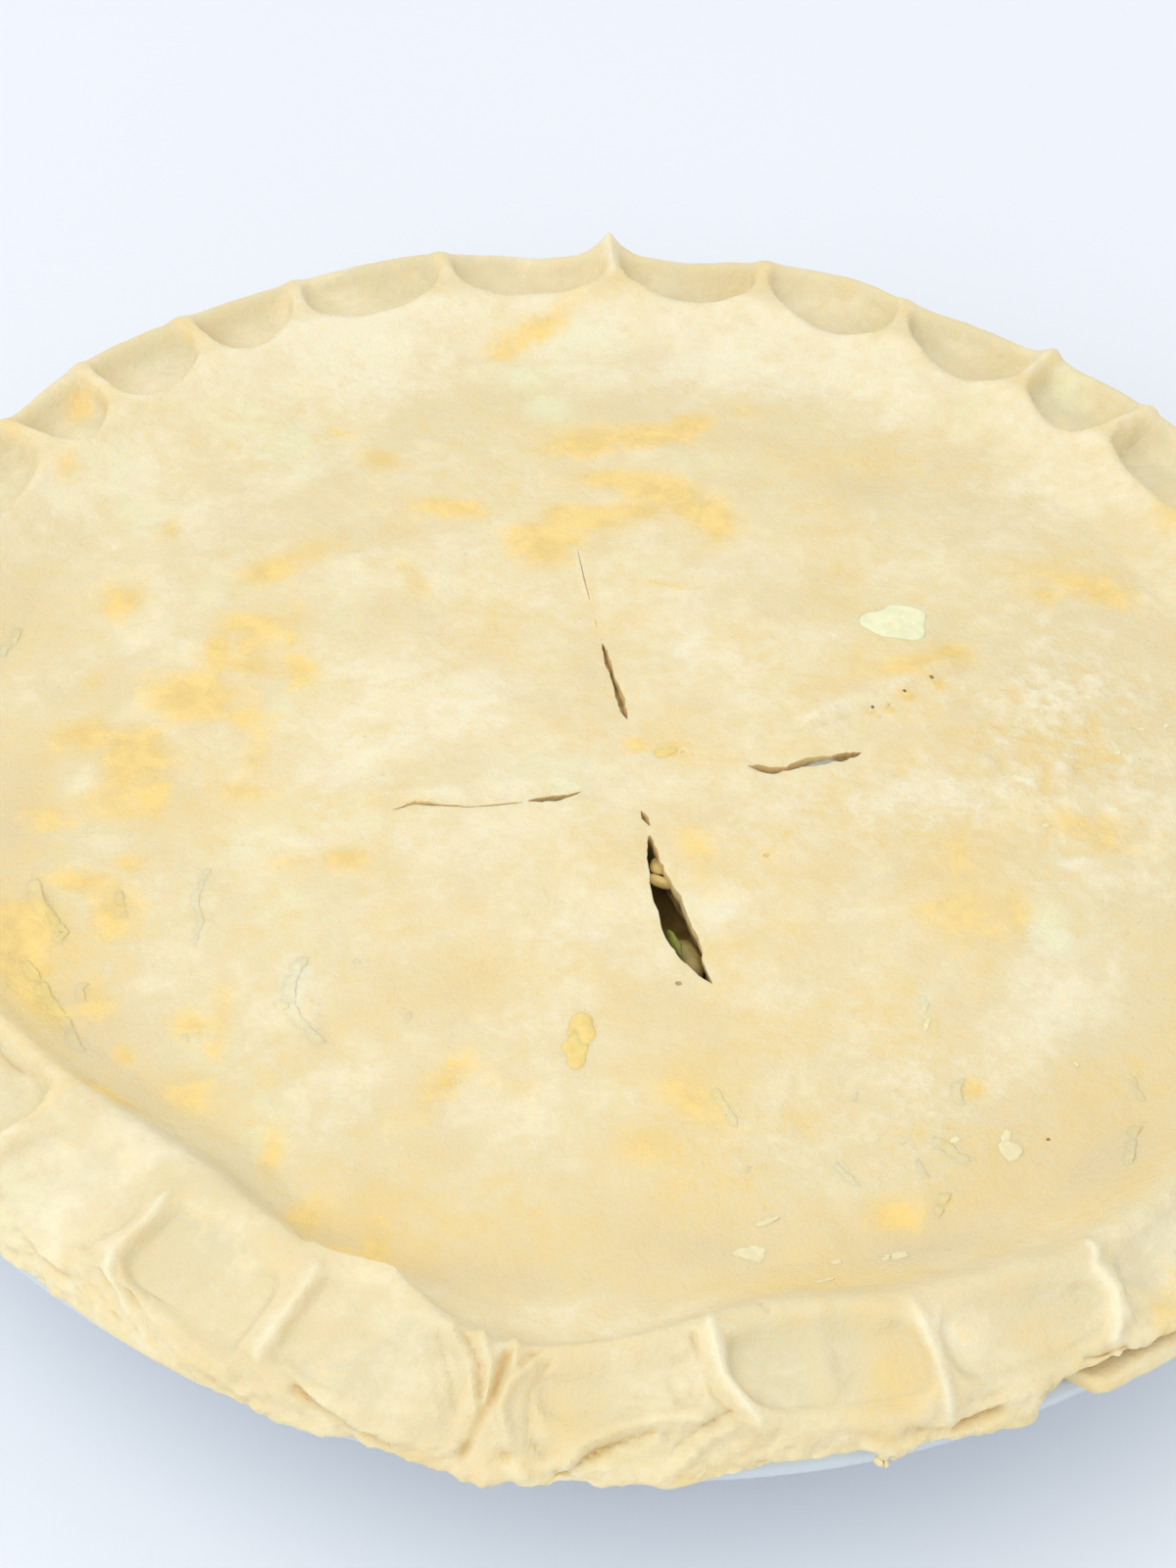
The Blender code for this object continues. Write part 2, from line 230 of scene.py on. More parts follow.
BUMPS = (
    (-75, -10.7, 7, 1.2), (-78, -14.2, 3, 0.5), (-36, -93, 6, -1.6), (-20, 7, 14, 0.9),
    (-34, 13.9, 12, 0.5), (22, 19.6, 16, 0.7), (46, 7.5, 12, -0.5), (-62, -36.1, 11, 0.5),
    (-55, -59.8, 9, -0.5), (30, -48.3, 18, 0.4), (-48, 43.1, 14, 0.5), (12, 65.4, 14, -0.4),
    (62, -45.8, 14, 0.4), (-66, 23.4, 9, 0.4), (-4, -34.7, 10, -0.4), (20, -23.9, 7, 0.5),
    (35, 69.5, 5, -0.6), (35, 74.1, 3, 0.4), (26, -14.1, 5, 0.5), (45, -16.2, 6, 0.5),
    *CRUMB_BUMPS,
)
# Edges where one side of the lid stands proud: from, to, height, reach. The left of the line
# is raised, or sunk where the height is below zero.
LEDGES = (
    ((-37, -14.8), (-6, -7.9), 1.4, 6),
    ((9, -0.1), (35.5, 6.3), 0.7, 5),
    ((28, 9.3), (51, 28), 1.5, 4),
    ((0.4, 7.6), (-9.8, 45.8), -0.4, 6),
    ((16, -44.7), (4.4, -14.6), -0.4, 5),
    ((-77.6, -44.8), (-83, -32.7), 0.8, 5),
    ((-71, -67), (-82, -50), 0.9, 5),
    ((-38, -60.4), (-44, -44.2), 0.5, 4),
    ((-55, 32.2), (-33, 48), -0.5, 6),
    ((58, 45.6), (80, 47.4), 0.5, 5),
    ((-44, -19), (-33, -14.6), 0.35, 3),
    ((-46, -14.8), (-36, -12.6), 0.3, 3),
)
# Steam cuts: the height they reach down to, then points along the cut as x, y and half width.
SLITS = (
    (47.3, (-9.8, 45.3, 0.05), (-8.6, 40, 0.12), (-7.2, 34.6, 0.22), (-6.6, 32.1, 0.1), (-6.0, 29.6, 0.2),
     (-5.2, 26.9, 0.2), (-4.9, 26.0, 0.06)),
    (46.2, (-4.6, 24.9, 0.06), (-4.1, 23, 0.35), (-3.4, 20.5, 0.45), (-2.6, 17.4, 0.25),
     (-1.8, 15.3, 0.45), (-1.0, 12.2, 0.5), (-0.4, 10.2, 0.45), (0.2, 8.3, 0.06)),
    (36, (4.9, -16.2, 0.12), (5.3, -18.0, 0.5), (5.8, -20.4, 0.8), (6.5, -22.7, 1.15), (8.0, -28, 1.6),
     (9.7, -33, 1.85), (11.4, -36.5, 1.95), (12.6, -39.3, 1.35), (13.9, -41.5, 0.65), (15.5, -43.8, 0.08)),
    (46.5, (3.4, -11.3, 0.1), (4.1, -12.8, 0.45), (4.8, -14.3, 0.1)),
    (47.2, (-33, -15, 0.05), (-30, -13.9, 0.25), (-26, -13.2, 0.28), (-22.5, -12.9, 0.12),
     (-18, -12.1, 0.22), (-15.2, -11.6, 0.2), (-14.2, -11.4, 0.06)),
    (40, (-13.4, -11.1, 0.06), (-12, -10.8, 0.4), (-9.6, -10.2, 0.55), (-7.6, -9.5, 0.3),
     (-5.8, -8.6, 0.06)),
    (45.5, (18.8, -0.6, 0.1), (20.2, -0.4, 0.5), (22.5, -0.5, 0.55), (24.6, 0.1, 0.35), (26.5, 1.3, 0.6),
     (30, 2.8, 0.75), (33.2, 4.4, 0.7), (34.6, 5.2, 0.5), (35.6, 5.7, 0.08)),
)
# Lumps that show in the cuts, by piece: slot, then centre, radii, tip, seed, flatness and lay.
BITS = {
    "set_sauce": ("stew", ((28.9, 2.4, 46.2), (4.2, 0.9, 1.5), 0.05, 95, 0.0, 25)),
    "gravy_chunk": ("stew", ((12.0, -36.4, 43.6), (1.9, 4.2, 1.9), 0.15, 75, 0.15, 20)),
    "green_stalk": ("stew", ((9.9, -34.4, 44.4), (0.8, 3.0, 1.3), 0.1, 76, 0.0, 22)),
    "dough_bridge": (
        "lid_dough",
        ((6.9, -23.9, 46.5), (2.3, 0.9, 0.8), 0.15, 77, 0.0, -28),
        ((6.6, -20.6, 46.2), (1.3, 1.9, 0.7), 0.2, 78, 0.0, 14),
    ),
}
# Small pits: x, y, half width.
PITS = (
    (46, 23.4, 0.45), (41.8, 19.8, 0.4), (39.6, 16.6, 0.35), (37.1, 15.6, 0.35), (8.7, 1.5, 0.45),
    (22.2, -18.6, 0.6), (10.8, -44.1, 0.6), (64, -65.3, 0.35), (60, -85, 0.5),
)
# Butter smeared in the lid: x, y, half length, half width, turn in degrees, strength.
BUTTER = (
    (-24.5, 95, 4.6, 3.4, 60, 0.7), (-19.5, 100, 7.3, 2.9, 48, 0.7), (-10, 72.4, 7.3, 3.9, 20, 0.85),
    (0, 75.4, 7.3, 3.2, 15, 1), (6, 79.1, 4.4, 2.7, 40, 1), (-5, 63.6, 7.3, 2.9, 0, 0.9),
    (3, 61.3, 8.5, 4.4, -20, 1), (10.5, 56.3, 5.5, 3.7, -50, 1), (11.5, 52.3, 1.7, 3.4, 0, 0.8),
    (-9, 53.6, 7.8, 3.5, 0, 1), (-15.5, 46.6, 5.6, 5.6, 0, 1.05), (-30, 53, 5.6, 2.4, 0, 0.9),
    (-42.2, 63.8, 3.7, 2.7, 0, 0.8), (-50, 70.5, 3.7, 2.4, 0, 0.5), (-34.5, 35.2, 5.4, 2.3, -60, 0.6),
    (-78.5, 26.5, 4.4, 4.9, 0, 0.75), (-58, 22.3, 6.1, 2.9, 10, 0.9), (-62.5, 16.4, 2.9, 5.5, 0, 0.85),
    (-57.5, 13.2, 5.5, 2.4, 0, 0.8), (-50, 12.7, 2.9, 5.4, 20, 0.75), (-65, 5.9, 7.1, 5.6, 0, 1.05),
    (-57, 2.2, 4.1, 3.7, 0, 0.6), (-52, 21.1, 2.4, 8.5, 0, 0.45), (-56, -13.2, 4.9, 2.4, 0, 0.65),
    (-54, -5.7, 2.2, 8.5, 0, 0.5), (-72, -7.2, 5.4, 6.8, 20, 1.05), (-80, -3.7, 6.1, 4.1, 0, 0.9),
    (-68.5, -15, 2.9, 5.4, 0, 0.75), (-72, -18.7, 5.6, 2.2, 0, 0.6), (-83, -20.7, 4.3, 3, 0, 0.6),
    (-39, -25.2, 3.9, 2.9, 0, 0.8), (-47, -26.7, 6.1, 3.7, 0, 0.4), (-70, -29.3, 2.9, 2.4, 0, 0.7),
    (-76, -33.1, 6.1, 2.9, 0, 0.8), (-71, -38.3, 3.9, 5.5, 0, 0.8), (-84, -41.6, 7.3, 5.5, 0, 1),
    (-84, -50, 6.1, 3.2, 0, 1), (-80, -55, 8.5, 2.9, -51, 1), (-71.5, -55.1, 2.9, 4.1, 0, 0.75),
    (-57.5, -57.9, 4.1, 3.2, 0, 0.6), (-53.5, -57.3, 2, 8.5, 0, 0.55), (-66, -64.5, 1.7, 2.4, 0, 0.8),
    (-56, -70.3, 4.4, 4.6, 0, 0.6), (-67, -74.6, 6.1, 2.1, -28, 0.8), (-21, -65.8, 7.3, 2.9, 58, 0.6),
    (-11, -65.6, 3.4, 2.4, 0, 0.45), (-43.5, -80.1, 1.8, 6.1, 0, 0.6), (-27.5, -95, 2.4, 5.4, 0, 0.7),
    (49, 29.3, 3.7, 2.3, 20, 1), (43, 26, 7.3, 2, 28, 0.75), (2, 2.4, 2.4, 2, 0, 0.7),
    (7.5, 2.2, 3.2, 2.2, 0, 0.85), (72, 48.5, 7.3, 4.1, -10, 0.75), (63.5, 45.4, 3.2, 2.4, 0, 0.7),
    (84, 66, 3.7, 4.9, 0, 0.6), (70, -4.2, 9.8, 3.2, 0, 0.6), (53, -25.7, 7.3, 8.5, 0, 0.5),
    (50.5, -12.9, 2.4, 6.1, 0, 0.45), (53.2, -58.1, 1.6, 2, 0, 0.9), (42, -80.8, 4.1, 2.9, 0, 0.2),
    (5, 38.9, 7.3, 1.1, 0, 0.5), (-91, 54, 2, 3.7, 0, 0.5), (-92, 72, 2.4, 4.9, 0, 0.5),
    (-16, 69.3, 4, 3, 0, 0.5), (-57, 34.8, 4.6, 2.8, 30, 0.8), (-58.5, 17.9, 5.6, 5.4, 0, 0.65),
    (-73.5, 43.2, 2, 4, 0, 0.5), (-73, -12.4, 4.5, 5, 0, 0.75), (-76, -16.8, 4, 2.6, 10, 0.65),
    (-0.8, 56.1, 5, 3, 0, 0.9), (6.9, 57.5, 4, 2.6, -20, 0.95), (-84, -47, 4.5, 8, 0, 0.9),
    (70, 48.9, 8, 2.6, -8, 0.7), (16, 84.3, 3.6, 2.4, 0, 0.4), (48, -24.8, 6, 2.4, 20, 0.5),
    (59, -24.5, 2.4, 6, 10, 0.6), (55, -35.6, 3, 4, 0, 0.45), (72, -7.8, 5, 3, 0, 0.6),
    (14, -66.1, 7, 3, -40, 0.55), (8, -73.4, 5, 4, 0, 0.5), (43, -81.3, 4, 3.2, 0, 0.75),
    (-38, -91, 3, 4, 0, 0.8), (-31, -97, 3.6, 2, 0, 0.7), (12, -18.9, 3, 8, 15, 0.5),
    (80, -93, 4, 5, 0, 0.5), (46.6, 22.2, 1.4, 0.9, 20, 1.1), (42.4, 18.6, 1.3, 0.8, 30, 1.1),
    (39.8, 15.6, 1.1, 0.7, 0, 1), (37, 14.4, 1.2, 0.7, 0, 0.9), (22.2, -18.6, 1.1, 1.1, 0, 0.9),
    (9.2, 0.6, 2, 0.9, 10, 0.8),
)
# Broad warm tones: the dough's own where it's thin, and painted shade in the valley by the rim and along the
# cuts: the same six numbers.
WARM = (
    (-50, 40.1, 10, 2.6, 30, 0.9), (-38, 46.7, 7, 2.2, 15, 0.8), (-56.5, 35.3, 3.6, 2.2, 50, 0.9),
    (33, 20.1, 10, 2.2, 28, 0.9), (14, -64.2, 8, 7, 0, 0.6), (10, -75.2, 10, 6, 0, 0.6),
    (25, -21.8, 12, 4, 10, 0.6), (52, -22.6, 9, 9, 0, 0.7), (40, -46.2, 9, 7, 0, 0.4),
    (-36, -92, 5, 4, 0, 1.0), (-28, -87.3, 3, 5, 0, 0.8), (-20, -97, 8, 3, 0, 0.8),
    (72, -75, 12, 3.6, 44, 1.0), (60, -84, 12, 3.4, 34, 1.0), (40, -94, 16, 3.2, 12, 0.9),
    (80, -66, 5, 5, 60, 0.8), (22, -97, 9, 2.6, 4, 0.8), (43, -110, 5, 7, 0, 0.8), (62, -100, 5, 4, 0, 0.5),
    (2, -118, 6, 5, 0, 0.4), (-46, 56.4, 7, 5, 0, 0.5), (-80, 6.5, 3, 14, 0, 0.6),
    (-86, -11.9, 3, 9, 0, 0.8), (8, -25.3, 5, 12, 15, 0.5), (-17, -47.3, 9, 4, 5, 0.5),
    (38, 22.3, 9, 5, 28, 0.6), (68, 15.4, 9, 6, 0, 0.5), (44, -68.5, 10, 6, 0, 0.3),
    (-25, -76.4, 8, 6, 0, 0.4), (-2, -83.9, 16, 6, 0, 0.5), (60, 52, 12, 4, 0, 0.5),
    (25, 73.9, 14, 5, 0, 0.35), (-6, 75.8, 12, 3, 0, 0.4), (30, -67.2, 6, 3, 0, 0.5),
    (-17, -44.3, 12, 4, 0, 0.4), (62, -55.9, 9, 5, 0, 0.4), (68, 12.3, 16, 10, 0, 0.4),
    (44, -79.5, 7, 4, 0, 0.5), (-80, -62, 12, 4, -45, 0.5), (-7.5, 35.5, 1.0, 10, 14, 0.9),
    (14, -0.6, 5, 0.8, 0, 0.6),
)
# Pale places, dusted with flour or streaked with fat, and painted highlights on the raised lips of the cuts
# and ledges and on the crumbs: the same six numbers.
PALE = (
    (-18, -5.9, 13, 4, 12, 0.9), (-70, -92, 9, 9, 0, 1.0), (-60, -84, 8, 6, 0, 0.7),
    (52, -103, 5, 4, 20, 1.0), (84, -82, 6, 5, 40, 0.9), (-44, -22.9, 8, 3, 0, 0.4),
    (-30, -32.8, 9, 7, 0, 0.5), (20, 31.8, 12, 5, 0, 0.4), (-90, 62, 4, 9, 20, 0.8),
    (-82, 74, 3, 5, 0, 0.7), (25, -10.1, 7, 3, 20, 0.6), (64, -27.8, 3.6, 4, 0, 0.95),
    (66, -42.4, 10, 7, 0, 0.45), (46, -44.2, 0.9, 4, 0, 0.9), (58, 25.8, 6, 9, 0, 0.4),
    (52.6, 72.5, 1.4, 3.4, 0, 0.9), (45, 74.7, 1.2, 3, 0, 0.7), (-78.5, -14.2, 3, 3.6, 0, 1.0),
    (-74, -24.4, 12, 3, 0, 0.4), (-43, -49.1, 2, 6, 0, 0.5), (-56, -81, 8, 3, -40, 0.35),
    (-74, 50.4, 12, 14, 0, 0.3), (25, 94, 34, 7, 0, 0.45), (-45, 30.7, 5, 8, 0, 0.4),
    (12, 28.2, 10, 12, 0, 0.35), (43.5, 23.6, 9, 1.0, 38, 1.2), (31, 13.4, 7, 1.0, 38, 1.0),
    (-14, -9, 7, 1.2, 14, 1.2), (-28, -12, 7, 1.0, 8, 0.8), (-30, 8, 34, 20, 0, 0.28),
    (52, 24, 3, 2, 0, 0.6),
    *((x, y, 1.6, 1.2, 0, 0.8) for x, y, *_ in CRUMB_BUMPS),
)
# Where cold fat shows through: the same six numbers.
FAT = (
    (-21.5, 87.6, 4.6, 4.2, -40, 1.0), (-16, 80.7, 5.6, 3.8, -32, 1.0), (-67, 71, 6, 5, 0, 0.7),
    (-57, 66.5, 5.5, 6, 0, 0.6), (-54, 57.5, 3, 4, 0, 0.5), (-80, 46.6, 6, 5, 0, 0.5),
    (-84, 57, 4, 5, 0, 0.4), (-46, 26.8, 3, 5, 0, 0.6), (-66, 29.6, 3, 4, 0, 0.5),
    (-17, -5.9, 12, 3.4, 12, 0.7), (-44, -17, 8, 3.4, 0, 0.5), (-44, -35.5, 6, 5, 0, 0.5),
    (-54, -24.1, 5, 5, 0, 0.4), (-57, -64.4, 4, 11, 0, 0.5), (-45, -75.5, 3.4, 7, 0, 0.6),
    (64, -26.9, 4, 4.6, 0, 0.9), (51, 88, 4, 6, 0, 0.4), (6, 70.6, 7, 3.4, 0, 0.5),
    (-52, 4.7, 3, 6, 0, 0.6), (69, 98, 5, 3.4, -20, 1.0), (73, 92, 3.4, 3, 0, 0.5),
    (20, 65.6, 2.4, 6, 0, 0.4), (54, 29.6, 4, 6, 0, 0.5), (36, -77.1, 4, 2.4, 0, 0.5),
    (-14, 96, 9, 5, 0, 0.3), (-100, -60, 8, 8, 0, 0.5), (-78, -93, 5, 5, 0, 0.4), (4, 42.6, 4, 2.4, 0, 0.5),
    (40.4, 35.4, 6.4, 4.6, 0, 0.5), (-9.5, -8.2, 4, 1.2, 14, 1.0),
)
# Shaded, tan places: the same six numbers.
TAN = (
    (72, -67, 14, 6, 46, 1.0), (46, -86, 14, 5, 16, 1.0), (14, -90, 12, 5, 0, 0.8),
    (-12, -98, 9, 4, 0, 1.0), (-88, -20, 5, 14, 0, 0.9), (-86, -42, 4, 12, 0, 1.0),
    (-72, -60, 8, 5, -45, 1.0), (-62, 44, 8, 5, 30, 0.4), (64, -67.5, 20, 10, 45, 0.54),
    (36, 67.5, 9, 5, 0, 0.48), (50, 65.1, 10, 5, 0, 0.36), (20, 75.9, 10, 4, 0, 0.3),
    (56, 59.1, 9, 4, 0, 0.24), (66, 31.3, 8, 4, 0, 0.3), (52, 19, 4, 7, 0, 0.3), (70, 41.3, 6, 3, 0, 0.36),
    (42, -19.2, 7, 2.6, 8, 0.42), (46, -88, 16, 5, 15, 0.42), (-42, 46.2, 11, 4, 15, 0.36),
    (-30, 79.2, 8, 4, 0, 0.24), (-3, 81, 9, 3.6, 0, 0.36), (-38, 28.6, 8, 3, 0, 0.24),
    (-70, 95, 8, 5, 30, 0.24), (-60, -71.2, 8, 9, 40, 0.54), (-47, -89, 9, 4, -30, 0.48),
    (-33, -93, 8, 5, 0, 0.48), (14, 44.6, 9, 5, 0, 0.24), (-26, -46.4, 9, 5, 0, 0.24),
    (60, 29.9, 5, 9, 0, 0.18), (-94, 30, 6, 20, 0, 0.24), (85, 21.7, 8, 20, 0, 0.24),
    (34, -15.5, 6, 3, 0, 0.24), (-8, 22.9, 5, 10, 0, 0.12),
)
# Where the dough is crumbly: the same six numbers.
COARSE = (
    (66, 14.2, 20, 22, 0, 1.0), (44, -6.8, 14, 9, 0, 0.7), (48, -64.6, 16, 14, 0, 0.8),
    (22, -75, 14, 12, 0, 0.5), (74, -53.8, 9, 9, 0, 0.5), (-76, -44.7, 10, 22, 0, 0.6),
    (-60, 66.7, 10, 9, 0, 0.5), (38, 70.6, 16, 5, 0, 0.5), (24, -12.2, 12, 6, 0, 0.4),
    (-46, -70.1, 10, 14, 30, 0.4),
)
PLACES = {"butter": BUTTER, "warm": WARM, "pale": PALE, "fat": FAT, "tan": TAN, "coarse": COARSE}

# Torn edges of dough: height, reach, strength of the lip's painted shade, then the path with the raised side
# on its left.
TEARS = (
    (0.45, 1.4, 0.9, (-77.6, -45.7), (-77.2, -42.8), (-79, -39.8), (-81.5, -36.9), (-83, -32.7)),
    (0.45, 1.3, 1.0, (-71.5, -65), (-74.5, -58.9), (-77.5, -54.4), (-82, -48)),
    (0.3, 0.9, 0.8, (-69, -39.9), (-69.6, -37.5), (-70.4, -34.5)),
    (0.3, 0.9, 0.8, (-72.6, -55.5), (-73.2, -53.1), (-72.6, -51.9)),
    (0.4, 1.2, 0.4, (-38, -60.4), (-41.5, -56.7), (-43.4, -53.8), (-43.2, -48.1), (-42, -45.2)),
    (0.25, 0.8, 0.3, (-58.6, -44.6), (-58, -40.1), (-59.2, -35.2), (-58.2, -29)),
    (0.35, 0.9, 0.5, (52.2, -61.3), (51.4, -58.6), (52.2, -56.2)),
    (0.4, 1.0, 1.0, (53.4, -70.5), (51.2, -69.1), (50, -67.9), (47.8, -67)),
    (0.4, 1.0, 0.9, (48.8, -80.9), (49.8, -78.5), (50.4, -76.2)),
    (0.4, 1.0, 0.9, (75.4, -69.5), (76, -66.5), (76.2, -63.6), (77.6, -60)),
    (0.3, 0.8, 0.5, (77.8, -56.2), (76.8, -53.6), (76.4, -51.7)),
    (0.35, 0.9, 0.5, (20.2, -69.7), (19.8, -67.4), (18.2, -65.2), (17.2, -62.9)),
    (0.3, 0.8, 0.6, (47.8, -74.2), (46.4, -72.4), (45.8, -70.9)),
    (0.25, 0.8, 0.4, (38, -77.3), (36.4, -75.2), (34.6, -72.9)),
    (0.25, 0.7, 0.5, (22, -77.2), (22.6, -75.4)),
    (0.25, 0.7, 0.4, (36.6, -63.1), (37, -60.3)),
    (0.35, 0.9, 0.7, (-57.2, -61.2), (-57.8, -59.2)),
    (0.25, 0.7, 0.6, (-26.6, -55.6), (-26.8, -53.6)),
    (0.25, 0.7, 0.7, (-34.4, -45.6), (-35.6, -44.4)),
    (0.35, 0.9, 0.4, (-95, 12.5), (-93.6, 15.9), (-93, 19.4)),
)
# Flakes and crumbs that lie on the lid: x, y, half length, half width, turn, how far one end curls up.
FLAKES = (
    (58.6, -67.9, 1.3, 1.9, 20, 0.3), (58, -65.7, 1.0, 0.7, 60, 0.3), (50.8, -67.3, 0.8, 0.5, 20, 0.3),
    (46, -43.6, 0.5, 1.7, 0, 0.2), (46.4, -47.6, 0.4, 1.3, -10, 0.2), (23.4, -89.9, 2.2, 1.2, 0, 0.0),
    (25.2, -84.6, 1.5, 0.5, 30, 0.4), (43.6, -87.8, 1.3, 0.7, 20, 0.4), (41.8, -88.4, 0.6, 0.5, 0, 0.3),
    (33.4, -94.4, 1.4, 0.3, 25, 0.3), (35, -90, 0.8, 0.4, 10, 0.2), (-45, -54, 1.2, 0.8, -40, 0.3),
)
# Flakes of butter: x, y, half length, half width, thickness, turn, seed, curl.
BUTTER_FLAKE = (40.4, 35.4, 5.2, 4.0, 0.3, 8, 507, 0.05)
YELLOW_FLAKES = (
    (-2.4, -54.4, 3.0, 1.9, 0.5, 78, 505, 0.2),
    (-3.0, -58.2, 3.1, 1.7, 0.45, 96, 511, 0.1),
    (6.2, 1.4, 1.7, 0.8, 0.3, 20, 503, 0.1),
)
# Bits that hang from the rim's lower edge at the front: angle, radius, height.
HANGING_BITS = ((290.0, 124.8, 37.2), (289.7, 124.9, 36.4), (290.2, 124.8, 35.9), (290.6, 124.7, 36.6))
# How many places are tried for a crumb.
CRUMB_TRIES = 600
# The lid's surface is probed from this height, in metres, and a hole deeper than the dip, in mm, is bridged.
PROBE_HEIGHT = 0.08
DEEPEST_DIP = 1.5


def color_property(name, description, default):
    return bpy.props.FloatVectorProperty(
        name=name, description=description, default=default, subtype="COLOR", size=3, min=0, max=1
    )


def length_property(name, description, default):
    return bpy.props.FloatProperty(name=name, description=description, default=default, unit="LENGTH")


def angle_property(name, description, degrees):
    return bpy.props.FloatProperty(
        name=name, description=description, default=math.radians(degrees), subtype="ANGLE"
    )


def factor_property(name, description, default):
    return bpy.props.FloatProperty(
        name=name, description=description, default=default, subtype="FACTOR", min=0, max=1
    )


class PieDishSettings(bpy.types.PropertyGroup):
    """Sizes and finish of the pie dish"""

    radius: length_property("Radius", "Outer radius of the flange", DISH_HIGH.x)
    height: length_property("Height", "Height of the flange above the table", DISH_HIGH.z)
    wall: length_property("Wall", "Thickness of the side", 0.005)
    foot_radius: length_property("Foot radius", "Outer radius of the foot ring", 0.084)
    # The dish is white; the glaze's blue-grey paints the dish in shade.
    glaze: color_property("Glaze", "Colour of the glaze", (0.62, 0.68, 0.72))
    roughness: factor_property("Roughness", "Roughness of the glaze", 0.22)


class PieDoughSettings(bpy.types.PropertyGroup):
    """Relief and colours of the raw dough"""

    lid_height: length_property("Lid height", "Top of the lid in its middle", 0.048)
    lid_under: length_property("Lid underside", "Underside of the lid in its middle", 0.043)
    relief: bpy.props.FloatProperty(
        name="Relief", description="How uneven the rolled dough is", default=1.0, min=0, max=3
    )
    dough: color_property("Dough", "Colour of the dough", (0.86, 0.716, 0.42))
    # The flour colour also paints light on the pinched ridges, the raised lips of the cuts, the crumbs and
    # the valley's rise at the back.
    pale: color_property("Flour", "Colour where flour or fat shows pale", (0.90, 0.81, 0.565))
    # The warm colour also paints shade in the valley by the rim, along the cuts and between the crumbs.
    warm: color_property("Warm", "Colour of the thinner, yellower dough", (0.85, 0.65, 0.29))
    # Painted shade colour, for the thumb prints, the rim's flat front, the lid's outer part and the valley.
    shade_tone: color_property("Dull", "Colour of the handled dough, as in the thumb prints", (0.75, 0.66, 0.415))
    tan: color_property("Tan", "Colour of the shaded dough in the valley by the rim", (0.75, 0.61, 0.35))
    fat: color_property("Fat", "Colour where cold fat shows through the dough", (0.84, 0.81, 0.51))
    butter: color_property("Butter", "Colour of the butter smeared in the dough", (0.83, 0.60, 0.21))
    # Painted shade colour, deep in folds, cracks, torn lips and cuts.
    crease: color_property("Crease", "Colour deep in folds and cracks", (0.76, 0.50, 0.18))
    # Darkened as painted shade, for the bits of dough down in the cuts.
    wet: color_property("Wet", "Colour of the dough that is wet with gravy", (0.60, 0.43, 0.14))
    flake: color_property("Flake", "Colour of the loose flakes", (0.885, 0.73, 0.435))
    cold_butter: color_property("Cold butter", "Colour of the whole flake of butter", (0.93, 0.845, 0.53))
    roughness: factor_property("Roughness", "Roughness of the dough", 0.62)


class PieStewSettings(bpy.types.PropertyGroup):
    """The filling that shows in the slits"""

    drop: length_property("Drop", "Gap between the stew and the lid", 0.0012)
    # The gravy's brown is darkened as painted shade under the lid.
    gravy: color_property("Gravy", "Colour of the gravy", (0.16, 0.10, 0.025))
    herbs: color_property("Herbs", "Colour of the green flecks in the gravy", (0.075, 0.085, 0.015))
    # The sauce's grey paints the white sauce in the shade of its cut.
    sauce: color_property("Sauce", "Colour of the set white sauce", (0.50, 0.49, 0.42))
    # The chunk's colour is darkened as painted shade in the front cut.
    chunk: color_property("Chunk", "Colour of the chunk under its coat of gravy", (0.38, 0.29, 0.09))
    stalk: color_property("Stalk", "Colour of the green stalk", (0.28, 0.30, 0.05))


class PieStageSettings(bpy.types.PropertyGroup):
    """Camera, floor and light"""

    distance: length_property("Distance", "Camera to the middle of the pie", 0.70)
    elevation: angle_property("Elevation", "Camera angle above the table", 44.6)
    roll: angle_property("Roll", "Turn of the camera about its own axis", 4.61)
    focal_length: bpy.props.FloatProperty(
        name="Focal length", description="Lens on a 36 mm sensor, in mm", default=107.3
    )
    floor: color_property("Floor", "Colour of the table top", (0.86, 0.88, 0.915))
    key_power: bpy.props.FloatProperty(
        name="Key", description="Power of the soft key light", default=8.3, unit="POWER"
    )
    sky: bpy.props.FloatProperty(
        name="Sky", description="Strength of the even light all round", default=0.89
    )
    sky_tint: color_property("Sky tint", "Colour of the even light all round", (0.93, 0.96, 1.0))


class PiePotSettings(bpy.types.PropertyGroup):
    """All settings of the pie"""

    dish: bpy.props.PointerProperty(type=PieDishSettings, name="Dish", description="The dish")
    dough: bpy.props.PointerProperty(type=PieDoughSettings, name="Dough", description="The dough")
    stew: bpy.props.PointerProperty(type=PieStewSettings, name="Stew", description="The filling")
    stage: bpy.props.PointerProperty(type=PieStageSettings, name="Stage", description="Camera and light")


# Shape helpers. Points are numpy arrays in mm until a mesh is made of them.


def smooth(value, low, high):
    """0 below low, 1 above high, eased in between."""
    t = np.clip((value - low) / (high - low), 0, 1)
    return t * t * (3 - 2 * t)


def around(pairs, soften=1.2):
    """A function of the angle that follows (angle, value) pairs round the pie, with soft corners."""
    step = 0.25
    grid = np.arange(0, 360, step)
    angles, values = np.array(pairs, float).T
    level = np.interp(grid, angles, values, period=360)
    reach = int(3 * soften / step)
    kernel = np.exp(-0.5 * (np.arange(-reach, reach + 1) * step / soften) ** 2)
    wrapped = np.concatenate([level[-reach:], level, level[:reach]])
    level = np.convolve(wrapped, kernel / kernel.sum(), "valid")
    return lambda angle: np.interp(angle, grid, level, period=360)


